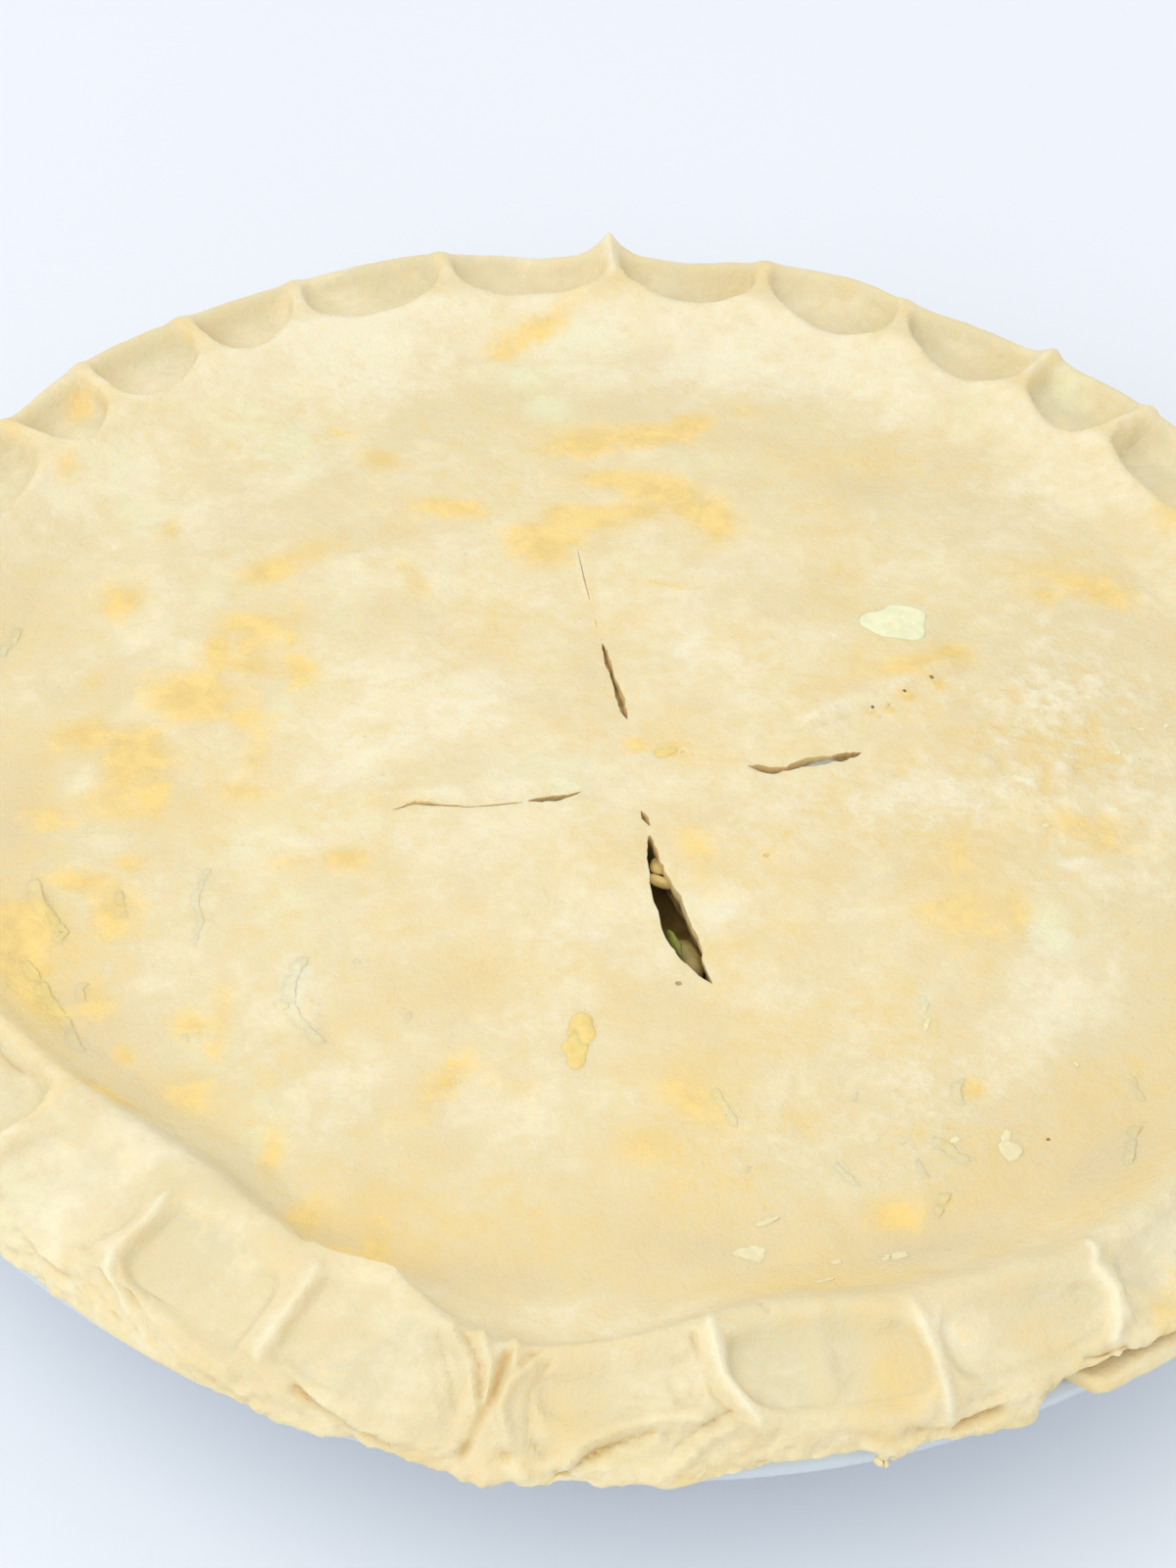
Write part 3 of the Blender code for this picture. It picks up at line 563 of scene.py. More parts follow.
def lumps(points, size, seed):
    """Smooth uneven noise over an (..., 3) array of points, about -1 to 1. Size is the width of a lump."""
    rng = np.random.default_rng(seed)
    table = rng.permutation(256)
    slopes = rng.normal(size=(256, 3))
    slopes /= np.linalg.norm(slopes, axis=1, keepdims=True)
    scaled = points / size
    cell = np.floor(scaled).astype(int)
    part = scaled - cell
    ease = part**3 * (part * (part * 6 - 15) + 10)
    total = 0
    for corner in itertools.product((0, 1), repeat=3):
        spot = cell + corner
        key = table[(table[(table[spot[..., 0] % 256] + spot[..., 1]) % 256] + spot[..., 2]) % 256]
        weight = np.prod(np.where(corner, ease, 1 - ease), axis=-1)
        total = total + weight * ((part - corner) * slopes[key]).sum(-1)
    return total * 1.7


def flat_lumps(x, y, size, seed):
    """Noise over the plan of the pie."""
    return lumps(np.stack([x, y, np.zeros_like(x)], axis=-1), size, seed)


def path_distance(x, y, path):
    """Distance from each point to a line through the path's points."""
    best = np.full(np.shape(x), np.inf)
    for (ax, ay), (bx, by) in zip(path, path[1:]):
        dx, dy = bx - ax, by - ay
        t = np.clip(((x - ax) * dx + (y - ay) * dy) / (dx * dx + dy * dy), 0, 1)
        best = np.minimum(best, np.hypot(x - ax - t * dx, y - ay - t * dy))
    return best


def spline_rings(controls, counts):
    """Rings on a smooth curve through control rings, with counts[i] rings from control i on."""
    last = len(controls) - 1
    rings = []
    for i, count in enumerate(counts):
        a, b, c, d = (controls[min(max(i + k, 0), last)] for k in (-1, 0, 1, 2))
        square = 2 * a - 5 * b + 4 * c - d
        cube = 3 * b - a - 3 * c + d
        for t in np.arange(count) / count:
            rings.append(0.5 * (2 * b + (c - a) * t + square * t**2 + cube * t**3))
    rings.append(controls[len(counts)])
    return np.array(rings)


def normals_of(rings):
    """Outward normals of a closed set of rings, as an array like the rings'."""
    along = np.gradient(rings, axis=0)
    across = np.roll(rings, -1, axis=1) - np.roll(rings, 1, axis=1)
    normal = np.cross(across, along)
    return normal / np.maximum(np.linalg.norm(normal, axis=-1, keepdims=True), 1e-9)


def polar(radius, angle, height):
    """Points from cylinder coordinates, with the angle in degrees."""
    turn = np.radians(angle)
    return np.stack([radius * np.cos(turn), radius * np.sin(turn), height + 0 * radius], axis=-1)


class Skin:
    """Collects the points and faces of one piece's mesh."""

    def __init__(self):
        self.points = []
        self.faces = []
        self.count = 0

    def add(self, points):
        first = self.count
        self.points.append(np.reshape(points, (-1, 3)))
        self.count += len(self.points[-1])
        return np.arange(first, self.count)

    def join(self, lower, upper):
        """Faces between two rings, outward when upper follows lower. Counts are equal or 2 to 1."""
        if len(lower) == len(upper):
            after = zip(lower, np.roll(lower, -1), np.roll(upper, -1), upper)
            self.faces += [tuple(int(i) for i in face) for face in after]
            return
        wide, narrow = (lower, upper) if len(lower) > len(upper) else (upper, lower)
        middle = wide[1::2]
        wide, beyond, following = wide[::2], np.roll(wide[::2], -1), np.roll(narrow, -1)
        three = [
            *zip(wide, middle, narrow),
            *zip(middle, following, narrow),
            *zip(middle, beyond, following),
        ]
        turned = len(lower) < len(upper)
        self.faces += [tuple(int(i) for i in (face[::-1] if turned else face)) for face in three]

    def cap(self, ring, centre, upward):
        """Closes a ring with a fan to its centre."""
        middle = int(self.add([centre])[0])
        for a, b in zip(ring, np.roll(ring, -1)):
            self.faces.append((int(a), int(b), middle) if upward else (int(b), int(a), middle))

    def loft(self, rings):
        """Adds rings and joins each to the next."""
        named = [self.add(ring) for ring in rings]
        for lower, upper in zip(named, named[1:]):
            self.join(lower, upper)
        return named

    def finish(self, name, material, fields=None):
        """Makes the object. Fields are named numbers for each point, which the material reads."""
        points = np.concatenate(self.points)
        mesh = bpy.data.meshes.new(name)
        mesh.from_pydata((points * MM).tolist(), [], self.faces)
        for title, values in (fields(points) if fields else {}).items():
            layer = mesh.attributes.new(title, "FLOAT", "POINT")
            layer.data.foreach_set("value", np.asarray(values, np.float32))
        mesh.shade_smooth()
        mesh.validate()
        obj = bpy.data.objects.new(name, mesh)
        bpy.context.scene.collection.objects.link(obj)
        obj.data.materials.append(material)
        return obj


def settle(obj, slot, *nodes):
    """Puts a finished piece on the pie's body and hides the CAD nodes it stands for; its slot is not used."""
    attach(obj, "root")
    if nodes:
        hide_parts(*nodes)
    return obj


# Material helpers.


class Finish:
    """Builds a material's node tree: each call adds one node and returns its output."""

    def __init__(self, name):
        self.material = bpy.data.materials.new(name)
        self.material.use_nodes = True
        self.tree = self.material.node_tree
        self.shader = self.tree.nodes["Principled BSDF"]
        self.place = self.node("ShaderNodeTexCoord").outputs["Object"]

    def node(self, kind, **settings):
        made = self.tree.nodes.new(kind)
        for key, value in settings.items():
            setattr(made, key, value)
        return made

    def feed(self, socket, value):
        if isinstance(value, bpy.types.NodeSocket):
            self.tree.links.new(value, socket)
        else:
            socket.default_value = value

    def stretched(self, turn, length):
        """The place of a point, turned by degrees about Z and stretched, for streaks that run that way."""
        made = self.node("ShaderNodeMapping", vector_type="TEXTURE")
        self.feed(made.inputs["Vector"], self.place)
        made.inputs["Rotation"].default_value = (0, 0, math.radians(turn))
        made.inputs["Scale"].default_value = (length, 1, 1)
        return made.outputs["Vector"]

    def noise(self, size, detail=2.0, roughness=0.5, distortion=0.0, place=None):
        """Noise whose lumps are about size metres wide."""
        made = self.node("ShaderNodeTexNoise")
        self.feed(made.inputs["Vector"], place or self.place)
        made.inputs["Scale"].default_value = 1 / size
        made.inputs["Detail"].default_value = detail
        made.inputs["Roughness"].default_value = roughness
        made.inputs["Distortion"].default_value = distortion
        return made.outputs["Fac"]

    def field(self, name):
        """A number stored on the mesh's points."""
        return self.node("ShaderNodeAttribute", attribute_name=name).outputs["Fac"]

    def span(self, value, low, high, to_low=0.0, to_high=1.0, kind="SMOOTHSTEP"):
        """Eases a value from one span to another."""
        made = self.node("ShaderNodeMapRange", interpolation_type=kind)
        names = ("Value", "From Min", "From Max", "To Min", "To Max")
        for name, setting in zip(names, (value, low, high, to_low, to_high)):
            self.feed(made.inputs[name], setting)
        return made.outputs["Result"]

    def sum(self, first, second, operation="ADD"):
        made = self.node("ShaderNodeMath", operation=operation)
        self.feed(made.inputs[0], first)
        self.feed(made.inputs[1], second)
        return made.outputs["Value"]

    def mixture(self, *parts):
        """Sum of (value, weight) pairs, each value counted from its middle at 0.5."""
        total = 0.0
        for value, weight in parts:
            total = self.sum(self.sum(self.sum(value, 0.5, "SUBTRACT"), weight, "MULTIPLY"), total)
        return total

    def blend(self, share, first, second):
        """Colour between first and second."""
        made = self.node("ShaderNodeMix", data_type="RGBA")
        self.feed(made.inputs["Factor"], share)
        for socket, value in ((made.inputs[6], first), (made.inputs[7], second)):
            self.feed(socket, value if isinstance(value, bpy.types.NodeSocket) else (*value, 1))
        return made.outputs[2]

    def bump(self, height, distance, strength, below=None):
        made = self.node("ShaderNodeBump")
        made.inputs["Distance"].default_value = distance
        made.inputs["Strength"].default_value = strength
        self.feed(made.inputs["Height"], height)
        if below is not None:
            self.feed(made.inputs["Normal"], below)
        return made.outputs["Normal"]

    def surface(self, **sockets):
        for name, value in sockets.items():
            self.feed(self.shader.inputs[name.replace("_", " ")], value)
        return self.material


def tint(color, share):
    """A colour scaled towards dark or light."""
    return tuple(min(1.0, channel * share) for channel in color)


def dough_finish(name, dough, drier=0.0):
    """Raw shortcrust: cream dough mottled pale and warm, with smeared butter, painted shade in its creases
    and dips and painted light where its fields put it.
    """
    made = Finish(name)
    rolled = made.stretched(35, 1.7)
    broad = made.noise(0.024, 2, place=rolled)
    drift = made.noise(0.0105, 3, 0.55, 0.4, place=rolled)
    cloud = made.noise(0.0050, 3, 0.6, 0.3)
    mottle = made.noise(0.0022, 3, 0.6)
    grain = made.noise(0.0012, 3, 0.6)
    speck = made.noise(0.0006, 1)
    coarse = made.field("coarse")
    # Tone runs from -1, warm, to 1, pale: mottled, more so where it's crumbly and less where it's in painted
    # shade. The pale and warm fields hold painted light and shade as well as the dough's own tones.
    tone = made.mixture((broad, 2.2), (drift, 2.3), (cloud, 2.1), (mottle, 1.5), (grain, 0.7))
    tone = made.sum(tone, made.sum(coarse, made.mixture((mottle, 2.2), (grain, 1.4)), "MULTIPLY"))
    # Painted shade: the shade field takes the dough towards the shade colour.
    shade = made.sum(made.field("shade"), made.span(drift, 0.32, 0.66, 1.25, 0.55), "MULTIPLY")
    tone = made.sum(tone, made.sum(1.0, made.sum(shade, 0.5, "MULTIPLY"), "SUBTRACT"), "MULTIPLY")
    tone = made.sum(tone, made.sum(made.field("pale"), made.field("warm"), "SUBTRACT"))
    color = made.blend(shade, tuple(dough.dough), tuple(dough.shade_tone))
    color = made.blend(made.span(tone, 0.0, 1.0, 0, 1.0, "LINEAR"), color, tuple(dough.pale))
    color = made.blend(made.span(tone, 0.0, -1.0, 0, 1.0, "LINEAR"), color, tuple(dough.warm))
    # Fatty and dusky places, and painted shade in the tan places.
    fatty = made.sum(made.field("fat"), made.span(cloud, 0.25, 0.6), "MULTIPLY")
    color = made.blend(fatty, color, tuple(dough.fat))
    shaded = made.sum(made.field("tan"), made.span(drift, 0.25, 0.6, 0.65, 1.0), "MULTIPLY")
    color = made.blend(shaded, color, tuple(dough.tan))
    dusk = made.noise(0.015, 4, 0.62, 0.3)
    color = made.blend(made.span(dusk, 0.44, 0.72, 0, 0.6), color, tint(dough.tan, 1.07))
    color = made.blend(made.span(grain, 0.56, 0.74, 0, 0.15), color, tint(dough.dough, 0.90))
    # Butter, with edges that noise makes ragged.
    ragged = made.noise(0.0050, 4, 0.65, 0.6)
    smear = made.sum(made.field("butter"), made.mixture((ragged, 1.2), (mottle, 0.4)))
    butter = made.span(smear, 0.12, 0.68, kind="LINEAR")
    deep = made.blend(made.span(cloud, 0.36, 0.64), tuple(dough.butter), tint(dough.butter, 1.15))
    color = made.blend(made.sum(butter, 0.9, "MULTIPLY"), color, deep)
    color = made.blend(made.span(speck, 0.68, 0.78, 0, 0.22), color, tuple(dough.pale))
    # Painted shade deep in creases, cracks, torn lips and round the prints.
    crease = made.span(made.field("crease"), 0.1, 1.0, 0.0, 0.7)
    color = made.blend(crease, color, tuple(dough.crease))
    # Relief too fine for the mesh.
    low = made.bump(made.noise(0.0045, 3, 0.55), 0.0010, 0.28)
    crumbly = made.bump(made.sum(coarse, mottle, "MULTIPLY"), 0.0012, 0.5, low)
    fine = made.bump(grain, 0.0004, 0.5, crumbly)
    normal = made.bump(speck, 0.0002, 0.3, fine)
    rough = made.span(butter, 0, 1, dough.roughness + drier, dough.roughness - 0.16)
    made.surface(Base_Color=color, Roughness=rough, Normal=normal)
    made.surface(Specular_IOR_Level=0.35, Subsurface_Weight=0.25, Subsurface_Scale=0.003)
    return made.surface(Subsurface_Radius=(1.0, 0.6, 0.25))


def cut_finish(dough):
    """The moist inside of the dough where it's cut, darkened towards the filling as painted shade."""
    made = Finish("cut dough")
    cloud = made.noise(0.0015, 3)
    parts = made.node("ShaderNodeSeparateXYZ")
    made.feed(parts.inputs["Vector"], made.place)
    top = dough.lid_height
    depth = made.sum(parts.outputs["Z"], made.sum(cloud, 0.002, "MULTIPLY"))
    edge = made.span(depth, top - 0.0018, top + 0.0010)
    inner = made.blend(made.span(cloud, 0.3, 0.7), tint(dough.crease, 0.42), tint(dough.crease, 0.72))
    color = made.blend(edge, inner, tint(dough.warm, 0.9))
    normal = made.bump(made.noise(0.0007, 2), 0.0003, 0.5)
    rough = made.span(cloud, 0.3, 0.7, 0.5, 0.65)
    made.surface(Base_Color=color, Roughness=rough, Normal=normal)
    return made.surface(Subsurface_Weight=0.3, Subsurface_Scale=0.002)


# The rim of the top crust.


def rim_lines():
    """Flute number and place across it, 0 to 1, of every line of points that runs over the rim."""
    flute, place = [], []
    counts = [
        *[BACK_LINES] * len(BACK_RIDGES),
        *[SIDE_LINES] * len(LEFT_RIDGES),
        *[FRONT_LINES] * len(FRONT_RIDGES),
        CORNER_LINES,
        *[SIDE_LINES] * (len(RIGHT_RIDGES) - 1),
    ]
    for number, count in enumerate(counts):
        even = np.arange(count) / count
        flute.append(np.full(count, number))
        place.append(even - CROWDING / (2 * np.pi) * np.sin(2 * np.pi * even))
    return np.concatenate(flute), np.concatenate(place)


def ridge_angles(out):
    """Angle of every ridge at each distance out: an array of rings by ridges, plus the first once more."""
    rng = np.random.default_rng(4)
    columns = []
    for ridge in RIDGES:
        lean = rng.normal(0, 0.05)
        swerve = SWERVES.get(ridge, ((0, -7 * lean), (14, 7 * lean)))
        where, degrees = np.array(swerve, float).T
        columns.append(ridge + np.interp(out, where, degrees) * smooth(out, -12, 0))
    return np.stack([*columns, columns[0] + 360], axis=1)


def rim_section(angle):
    """Control points of the rim's section, from the underside round the edge to the crest and the valley."""
    crest, top = around(CREST_RADIUS)(angle), around(CREST_HEIGHT)(angle)
    sharp = around(CREST_SHARPNESS)(angle)
    lip, lip_top = around(LIP_RADIUS)(angle), around(LIP_HEIGHT)(angle)
    edge, low = around(EDGE_RADIUS, 0.35)(angle), around(EDGE_HEIGHT, 0.3)(angle)
    valley = around(VALLEY_HEIGHT, 6)(angle)
    width = lip - crest
    fall = top - lip_top
    section = (
        (SEAT_RADIUS + 0 * crest, SEAT_HEIGHT + 0 * crest),
        (112 + 0 * crest, 39.9 + 0 * crest),
        (edge - 3.6, np.maximum(39.8, low + 1.2)),
        (edge - 1.4, low + 0.2),
        (edge, low + 0.9),
        (lip + 0.6 * (edge - lip) + 0.35, low + 0.45 * (lip_top - low)),
        (lip + 0.2, lip_top - 1.7),
        (lip - 1.3, lip_top),
        (lip - 0.38 * width, lip_top + 0.32 * fall),
        (lip - 0.72 * width, lip_top + 0.76 * fall),
        (crest, top),
        (crest - 3.4 + 1.7 * sharp, top - 1.1 - 0.9 * sharp),
        (crest - 7.8 + 4.2 * sharp, valley + (0.36 - 0.1 * sharp) * (top - valley)),
        (crest - 13.5 + 5.5 * sharp, valley + 0.1),
    )
    return [np.stack(pair, axis=-1) for pair in section]


# Rings between each two control points of the section, and the rings at its lip and its crest.
SECTION_COUNTS = (2, 2, 3, 3, 6, 6, 5, 8, 8, 7, 5, 5, 5)
LIP_RING = sum(SECTION_COUNTS[:7])
CREST_RING = sum(SECTION_COUNTS[:10])
# Only the rings from the first to the last of these keep all their points.
HALF_RINGS = (4, sum(SECTION_COUNTS[:11]))


def rim_base():
    """Rim rings before pressing: points, angle, distance out, flute number and place across the flute."""
    flute, place = rim_lines()
    marks = (4, 10, 22, LIP_RING, CREST_RING, CREST_RING + 15)
    rough_out = np.interp(np.arange(sum(SECTION_COUNTS) + 1), marks, (28, 25, 20, 15, 0, -14))
    ridges = ridge_angles(rough_out)
    angle = ridges[:, flute] + (ridges[:, flute + 1] - ridges[:, flute]) * place
    rings = []
    for number, ring_angle in enumerate(angle):
        plan = spline_rings(rim_section(ring_angle), SECTION_COUNTS)[number]
        rings.append(polar(plan[:, 0], ring_angle, plan[:, 1]))
    rings = np.array(rings)
    steps = np.linalg.norm(np.diff(rings, axis=0), axis=-1)
    run = np.concatenate([np.zeros((1, len(flute))), np.cumsum(steps, axis=0)])
    return rings, angle, run[CREST_RING] - run, flute, place


def pressed(out, flute, place):
    """How far in a thumb has pushed each point, in mm, the painted shade over the rim's flat front and the
    back's pocket walls, and a band of painted shade round each front print.
    """
    rng = np.random.default_rng(11)
    table = np.zeros((6, len(RIDGES)))
    lean = np.zeros(len(RIDGES))
    for number, ridge in enumerate(RIDGES):
        # At the back the prints are deeper, and reach further in, on the side away from the middle.
        lean[number] = 0.3 * np.clip((ridge - 95) / 25, -1, 1) if ridge < BACK_END else 0
        inner = rng.uniform(-3.4, -2.8) + (0.8 + 2.7 * lean[number] if ridge < BACK_END else 0)
        deepest = rng.uniform(4.2, 4.9) + 0.9 * (50 < ridge < 85)
        made = (deepest, inner, 40, rng.uniform(10, 12), 0.7, 0.7)
        table[:, number] = FRONT_PRESSES.get(ridge, made)
    depth, inner, outer, corner, start, stop = table[:, flute]
    inner = inner - 5.5 * lean[flute] * (2 * place - 1)
    width = np.radians(np.diff([*RIDGES, RIDGES[0] + 360])[flute]) * ARC_RADIUS
    front = np.isin(flute, [RIDGES.index(ridge) for ridge in FRONT_PRESSES])
    across = place * width
    centre, half = (width + start - stop) / 2, (width - start - stop) / 2
    middle, reach = (inner + outer) / 2, (outer - inner) / 2
    # Inside is how far a point is in from the edge of a box with round corners.
    round_off = np.minimum(corner, half)
    qx = np.abs(across - centre) - half + round_off
    qy = np.abs(out - middle) - reach + round_off
    inside = round_off - np.hypot(np.maximum(qx, 0), np.maximum(qy, 0)) - np.minimum(np.maximum(qx, qy), 0)
    beside = np.clip((qx - qy) / 3 + 0.5, 0, 1)
    low = smooth(out - middle, -2, 3)
    # The front's prints have crisp sides and a soft upper end. The others are dished and rise to the lip.
    ends = 5.4 - 3.0 * low
    soft = np.where(front, ends + (1.6 - ends) * beside, 3.8 - 2.0 * beside)
    dent = smooth(inside / soft, 0, 1) * (1 - 0.15 * smooth(inside, soft, half))
    past = out - out[LIP_RING]
    rise = np.where(front, 0.0, 0.94 * smooth(past, -5.0, -0.4))
    fade = (1 - rise) * (1 - smooth(past, 1, 6))
    made = depth * dent * fade * (1 + lean[flute] * (2 * place - 1))
    lip = np.where(front, 0.5 * low * (1 - beside) * np.exp(-(((inside + 1.0) / 1.0) ** 2)), 0.0)
    # Painted shade: the rim's flat front is shaded, more so in its prints, and so are the walls of the back's
    # pockets; a band of painted shade rings each front print.
    flat = smooth(out, -8, -2) * (1 - smooth(past, 3, 8))
    wall = smooth(depth * dent, 0.2, 3.4) * (1 - smooth(past, -1.2, 0.4))
    in_shade = np.where(front, flat * (0.6 + 0.4 * smooth(made, 0.1, 1.4)), wall)
    border_shade = np.where(front, smooth(made, 0.15, 0.7) * (1 - smooth(made, 0.8, 1.25)), 0.0)
    return made - lip, in_shade, border_shade


def ridge_rise(out, flute, place):
    """Height of the pinched ridges between the presses, in mm."""
    rng = np.random.default_rng(5)
    table = np.zeros((5, len(RIDGES)))
    for number, ridge in enumerate(RIDGES):
        back = (BACK_FINS.get(ridge, rng.uniform(0.3, 0.9)), 4, 17, 1.1, 1.1)
        table[:, number] = FRONT_FINS.get(ridge, back)
    nearest = np.where(place < 0.5, flute, (flute + 1) % len(RIDGES))
    height, start, stop, before, after = table[:, nearest]
    width = np.radians(np.diff([*RIDGES, RIDGES[0] + 360])[flute]) * ARC_RADIUS
    away = np.where(place < 0.5, place, 1 - place) * width
    thin = np.where(place < 0.5, after, before)
    shape = 1 / (1 + (away / thin) ** 2) ** 1.4
    return height * shape * smooth(out, start - 3, start + 3) * (1 - smooth(out, stop - 2.5, stop + 3.5))


def folded(out, angle):
    """Folds, creases and lobes in mm, and how deep in a crease each point is, 0 to 1, which sets the painted
    shade there.
    """
    rise = np.zeros_like(out)
    deep = np.zeros_like(out)
    arc = np.radians(angle) * ARC_RADIUS
    for height, width, *path in FOLDS:
        line = [(math.radians(turn) * ARC_RADIUS, place) for turn, place in path]
        near = np.exp(-((path_distance(arc, out, line) / width) ** 2))
        rise += height * near
        if height < 0:
            deep = np.maximum(deep, near * min(1, -height / 2.6))
    for turn, place, width, height in LOBES:
        near = np.exp(-(((arc - math.radians(turn) * ARC_RADIUS) ** 2 + (out - place) ** 2) / width**2))
        rise += height * near
        if height < -1:
            deep = np.maximum(deep, near * min(1, -height / 2.2))
    return rise, deep


def rim_rings():
    """Finished rings of the rim, with the painted shade in its creases, its prints and round them, and the
    painted light on its pinched ridges and deep prints, each 0 to 1.
    """
    rings, angle, out, flute, place = rim_base()
    folds, deep = folded(out, angle)
    past = out - out[LIP_RING]
    side = smooth(past, 2.5, 6) * (1 - smooth(past, 9, 12))
    ridge = ridge_rise(out, flute, place)
    dent, in_shade, border_shade = pressed(out, flute, place)
    rise = ridge - dent + folds
    shown = 1 - smooth(past, 9.5, 13)
    rise += 0.24 * lumps(rings, 9, 21) + 0.10 * lumps(rings, 3.5, 22) + 0.04 * lumps(rings, 1.6, 23)
    # The lower edge is ragged, with lumps wider than they're high, and painted shade warms its dips.
    flat = rings * np.array([1, 1, 1.8])
    ragged = 0.55 * lumps(flat, 5, 24) + 0.55 * lumps(flat, 2.4, 25) + 0.3 * lumps(flat, 1.2, 26)
    rise += side * ragged
    deep = np.maximum(deep, side * 0.7 * smooth(-ragged, 0.25, 0.8))
    # Painted shade in a band round each front print.
    deep = np.maximum(deep, 0.28 * border_shade * (0.6 + lumps(rings, 6, 27)))
    rings = rings + normals_of(rings) * (rise * shown)[..., None]
    # Painted light: the pinched ridges, and the deepest prints at the back, are painted paler.
    ridge_light = np.maximum(0.85 * smooth(ridge, 0.2, 1.1), 0.3 * smooth(dent, 1.6, 3.0))
    return rings, np.clip(deep, 0, 1) * shown, in_shade, ridge_light * shown


# The lid inside the rim.


def crumbliness(x, y):
    """How crumbly the dough is at the right of the lid, 0 to 1."""
    return np.exp(-(((x - 68) / 20) ** 2) - ((y - 10) / 32) ** 2)


def lid_level(x, y, dough):
    """Height of the lid's top over its plan, in mm."""
    radius = np.hypot(x, y)
    angle = np.degrees(np.arctan2(y, x))
    middle = dough.lid_height / MM
    valley = around(VALLEY_HEIGHT, 6)(angle % 360)
    level = middle + (valley - middle) * (np.minimum(radius, VALLEY_RADIUS) / VALLEY_RADIUS) ** 2.4
    for bx, by, width, height in BUMPS:
        level += height * np.exp(-((x - bx) ** 2 + (y - by) ** 2) / width**2)
    for (ax, ay), (bx, by), height, reach in LEDGES:
        length = math.hypot(bx - ax, by - ay)
        ux, uy = (bx - ax) / length, (by - ay) / length
        along = (x - ax) * ux + (y - ay) * uy
        wobble = 0.7 * flat_lumps(x, y, 4, 31)
        left = (y - ay) * ux - (x - ax) * uy + wobble
        window = smooth(along, -3, 3) * (1 - smooth(along, length - 3, length + 3))
        level += height * window * smooth(left, -0.4, 0.5) * np.exp(-np.maximum(left, 0) / reach)
    crumbly = crumbliness(x, y)
    uneven = 0.55 * flat_lumps(x, y, 34, 32) + 0.32 * flat_lumps(x, y, 13, 33)
    uneven += (0.17 + 0.14 * crumbly) * flat_lumps(x, y, 5, 34)
    uneven += (0.08 + 0.26 * crumbly) * flat_lumps(x, y, CRUMB_SIZE, CRUMB_SEED)
    return level + dough.relief * uneven


def lid_rings(edge, dough):
    """Rings of the lid from the rim's inner edge to the middle, with fewer points as they shrink."""
    turn = np.degrees(np.arctan2(edge[:, 1], edge[:, 0]))
    reach = np.hypot(edge[:, 0], edge[:, 1])
    step = edge[:, 2] - lid_level(edge[:, 0], edge[:, 1], dough)
    rings = []
    for radius in np.arange(LID_RADIUS - 1.0, 1.5, -1.0):
        skip = 1 if radius > 51 else 2 if radius > 25 else 4
        near = smooth(radius, 72, LID_RADIUS)
        wide = radius * (1 + (reach[::skip] / LID_RADIUS - 1) * near)
        plan = polar(wide, turn[::skip], 0)
        plan[:, 2] = lid_level(plan[:, 0], plan[:, 1], dough) + step[::skip] * smooth(radius, 82, LID_RADIUS)
        rings.append(plan)
    return rings


def underside(radius, middle):
    """Height of the lid's underside, which domes up to a height in its middle."""
    return SEAT_HEIGHT + (middle - SEAT_HEIGHT) * (1 - (radius / SEAT_RADIUS) ** 2)


def underside_rings(angle, dough):
    """Rings under the lid, from the middle out."""
    rings = []
    for radius, skip in ((12, 8), (30, 8), (48, 4), (64, 4), (78, 4), (88, 2)):
        turn = angle[::skip]
        rings.append(polar(np.full(len(turn), float(radius)), turn, underside(radius, dough.lid_under / MM)))
    return rings


# Every blade stands up to this height.
CUT_TOP = 54
# A blade that reaches lower than this, as the front cut's does, widens again under the lid's surface.
OPEN_BELOW = 40


def slit_blade(floor, path):
    """The rings of a closed blade shape for one cut, with uneven sides."""
    rng = np.random.default_rng(int(abs(path[0][0] * 10)))
    x, y, half = np.array(path, float).T
    count = 8 * len(path)
    place = np.linspace(0, len(path) - 1, count)
    steps = np.arange(len(path))
    x, y, half = (np.interp(place, steps, values) for values in (x, y, half))
    dx, dy = np.gradient(x), np.gradient(y)
    side = np.stack([-dy, dx], axis=1) / np.hypot(dx, dy)[:, None]
    spine = np.stack([x, y], axis=1)
    knots = np.arange(0, count, 3)
    jagged = [np.interp(np.arange(count), knots, rng.normal(0, 0.16, len(knots))) for _ in range(2)]
    jagged = [edge * np.minimum(half, 1) for edge in jagged]
    rings = []
    for height in np.linspace(floor, CUT_TOP, 19):
        if floor < OPEN_BELOW:
            flare = np.interp(height, (floor, 45.2, 46.2, 48.5, CUT_TOP), (1.7, 1.7, 0.95, 1.15, 1.6))
        else:
            flare = np.interp(height, (floor, floor + 0.9, 46.5, 48.5, CUT_TOP), (0.5, 0.75, 0.95, 1.15, 1.6))
        sway = 0.12 * math.sin(height * 1.3) * np.minimum(half, 1)
        left, right = half * flare + jagged[0] + sway, half * flare + jagged[1] - sway
        outline = np.concatenate([spine + side * left[:, None], (spine - side * right[:, None])[::-1]])
        rings.append(np.column_stack([outline, np.full(len(outline), height)])[::-1])
    return rings


# A lid with fewer faces than this was spoilt by the cutting.
FEWEST_FACES = 1000


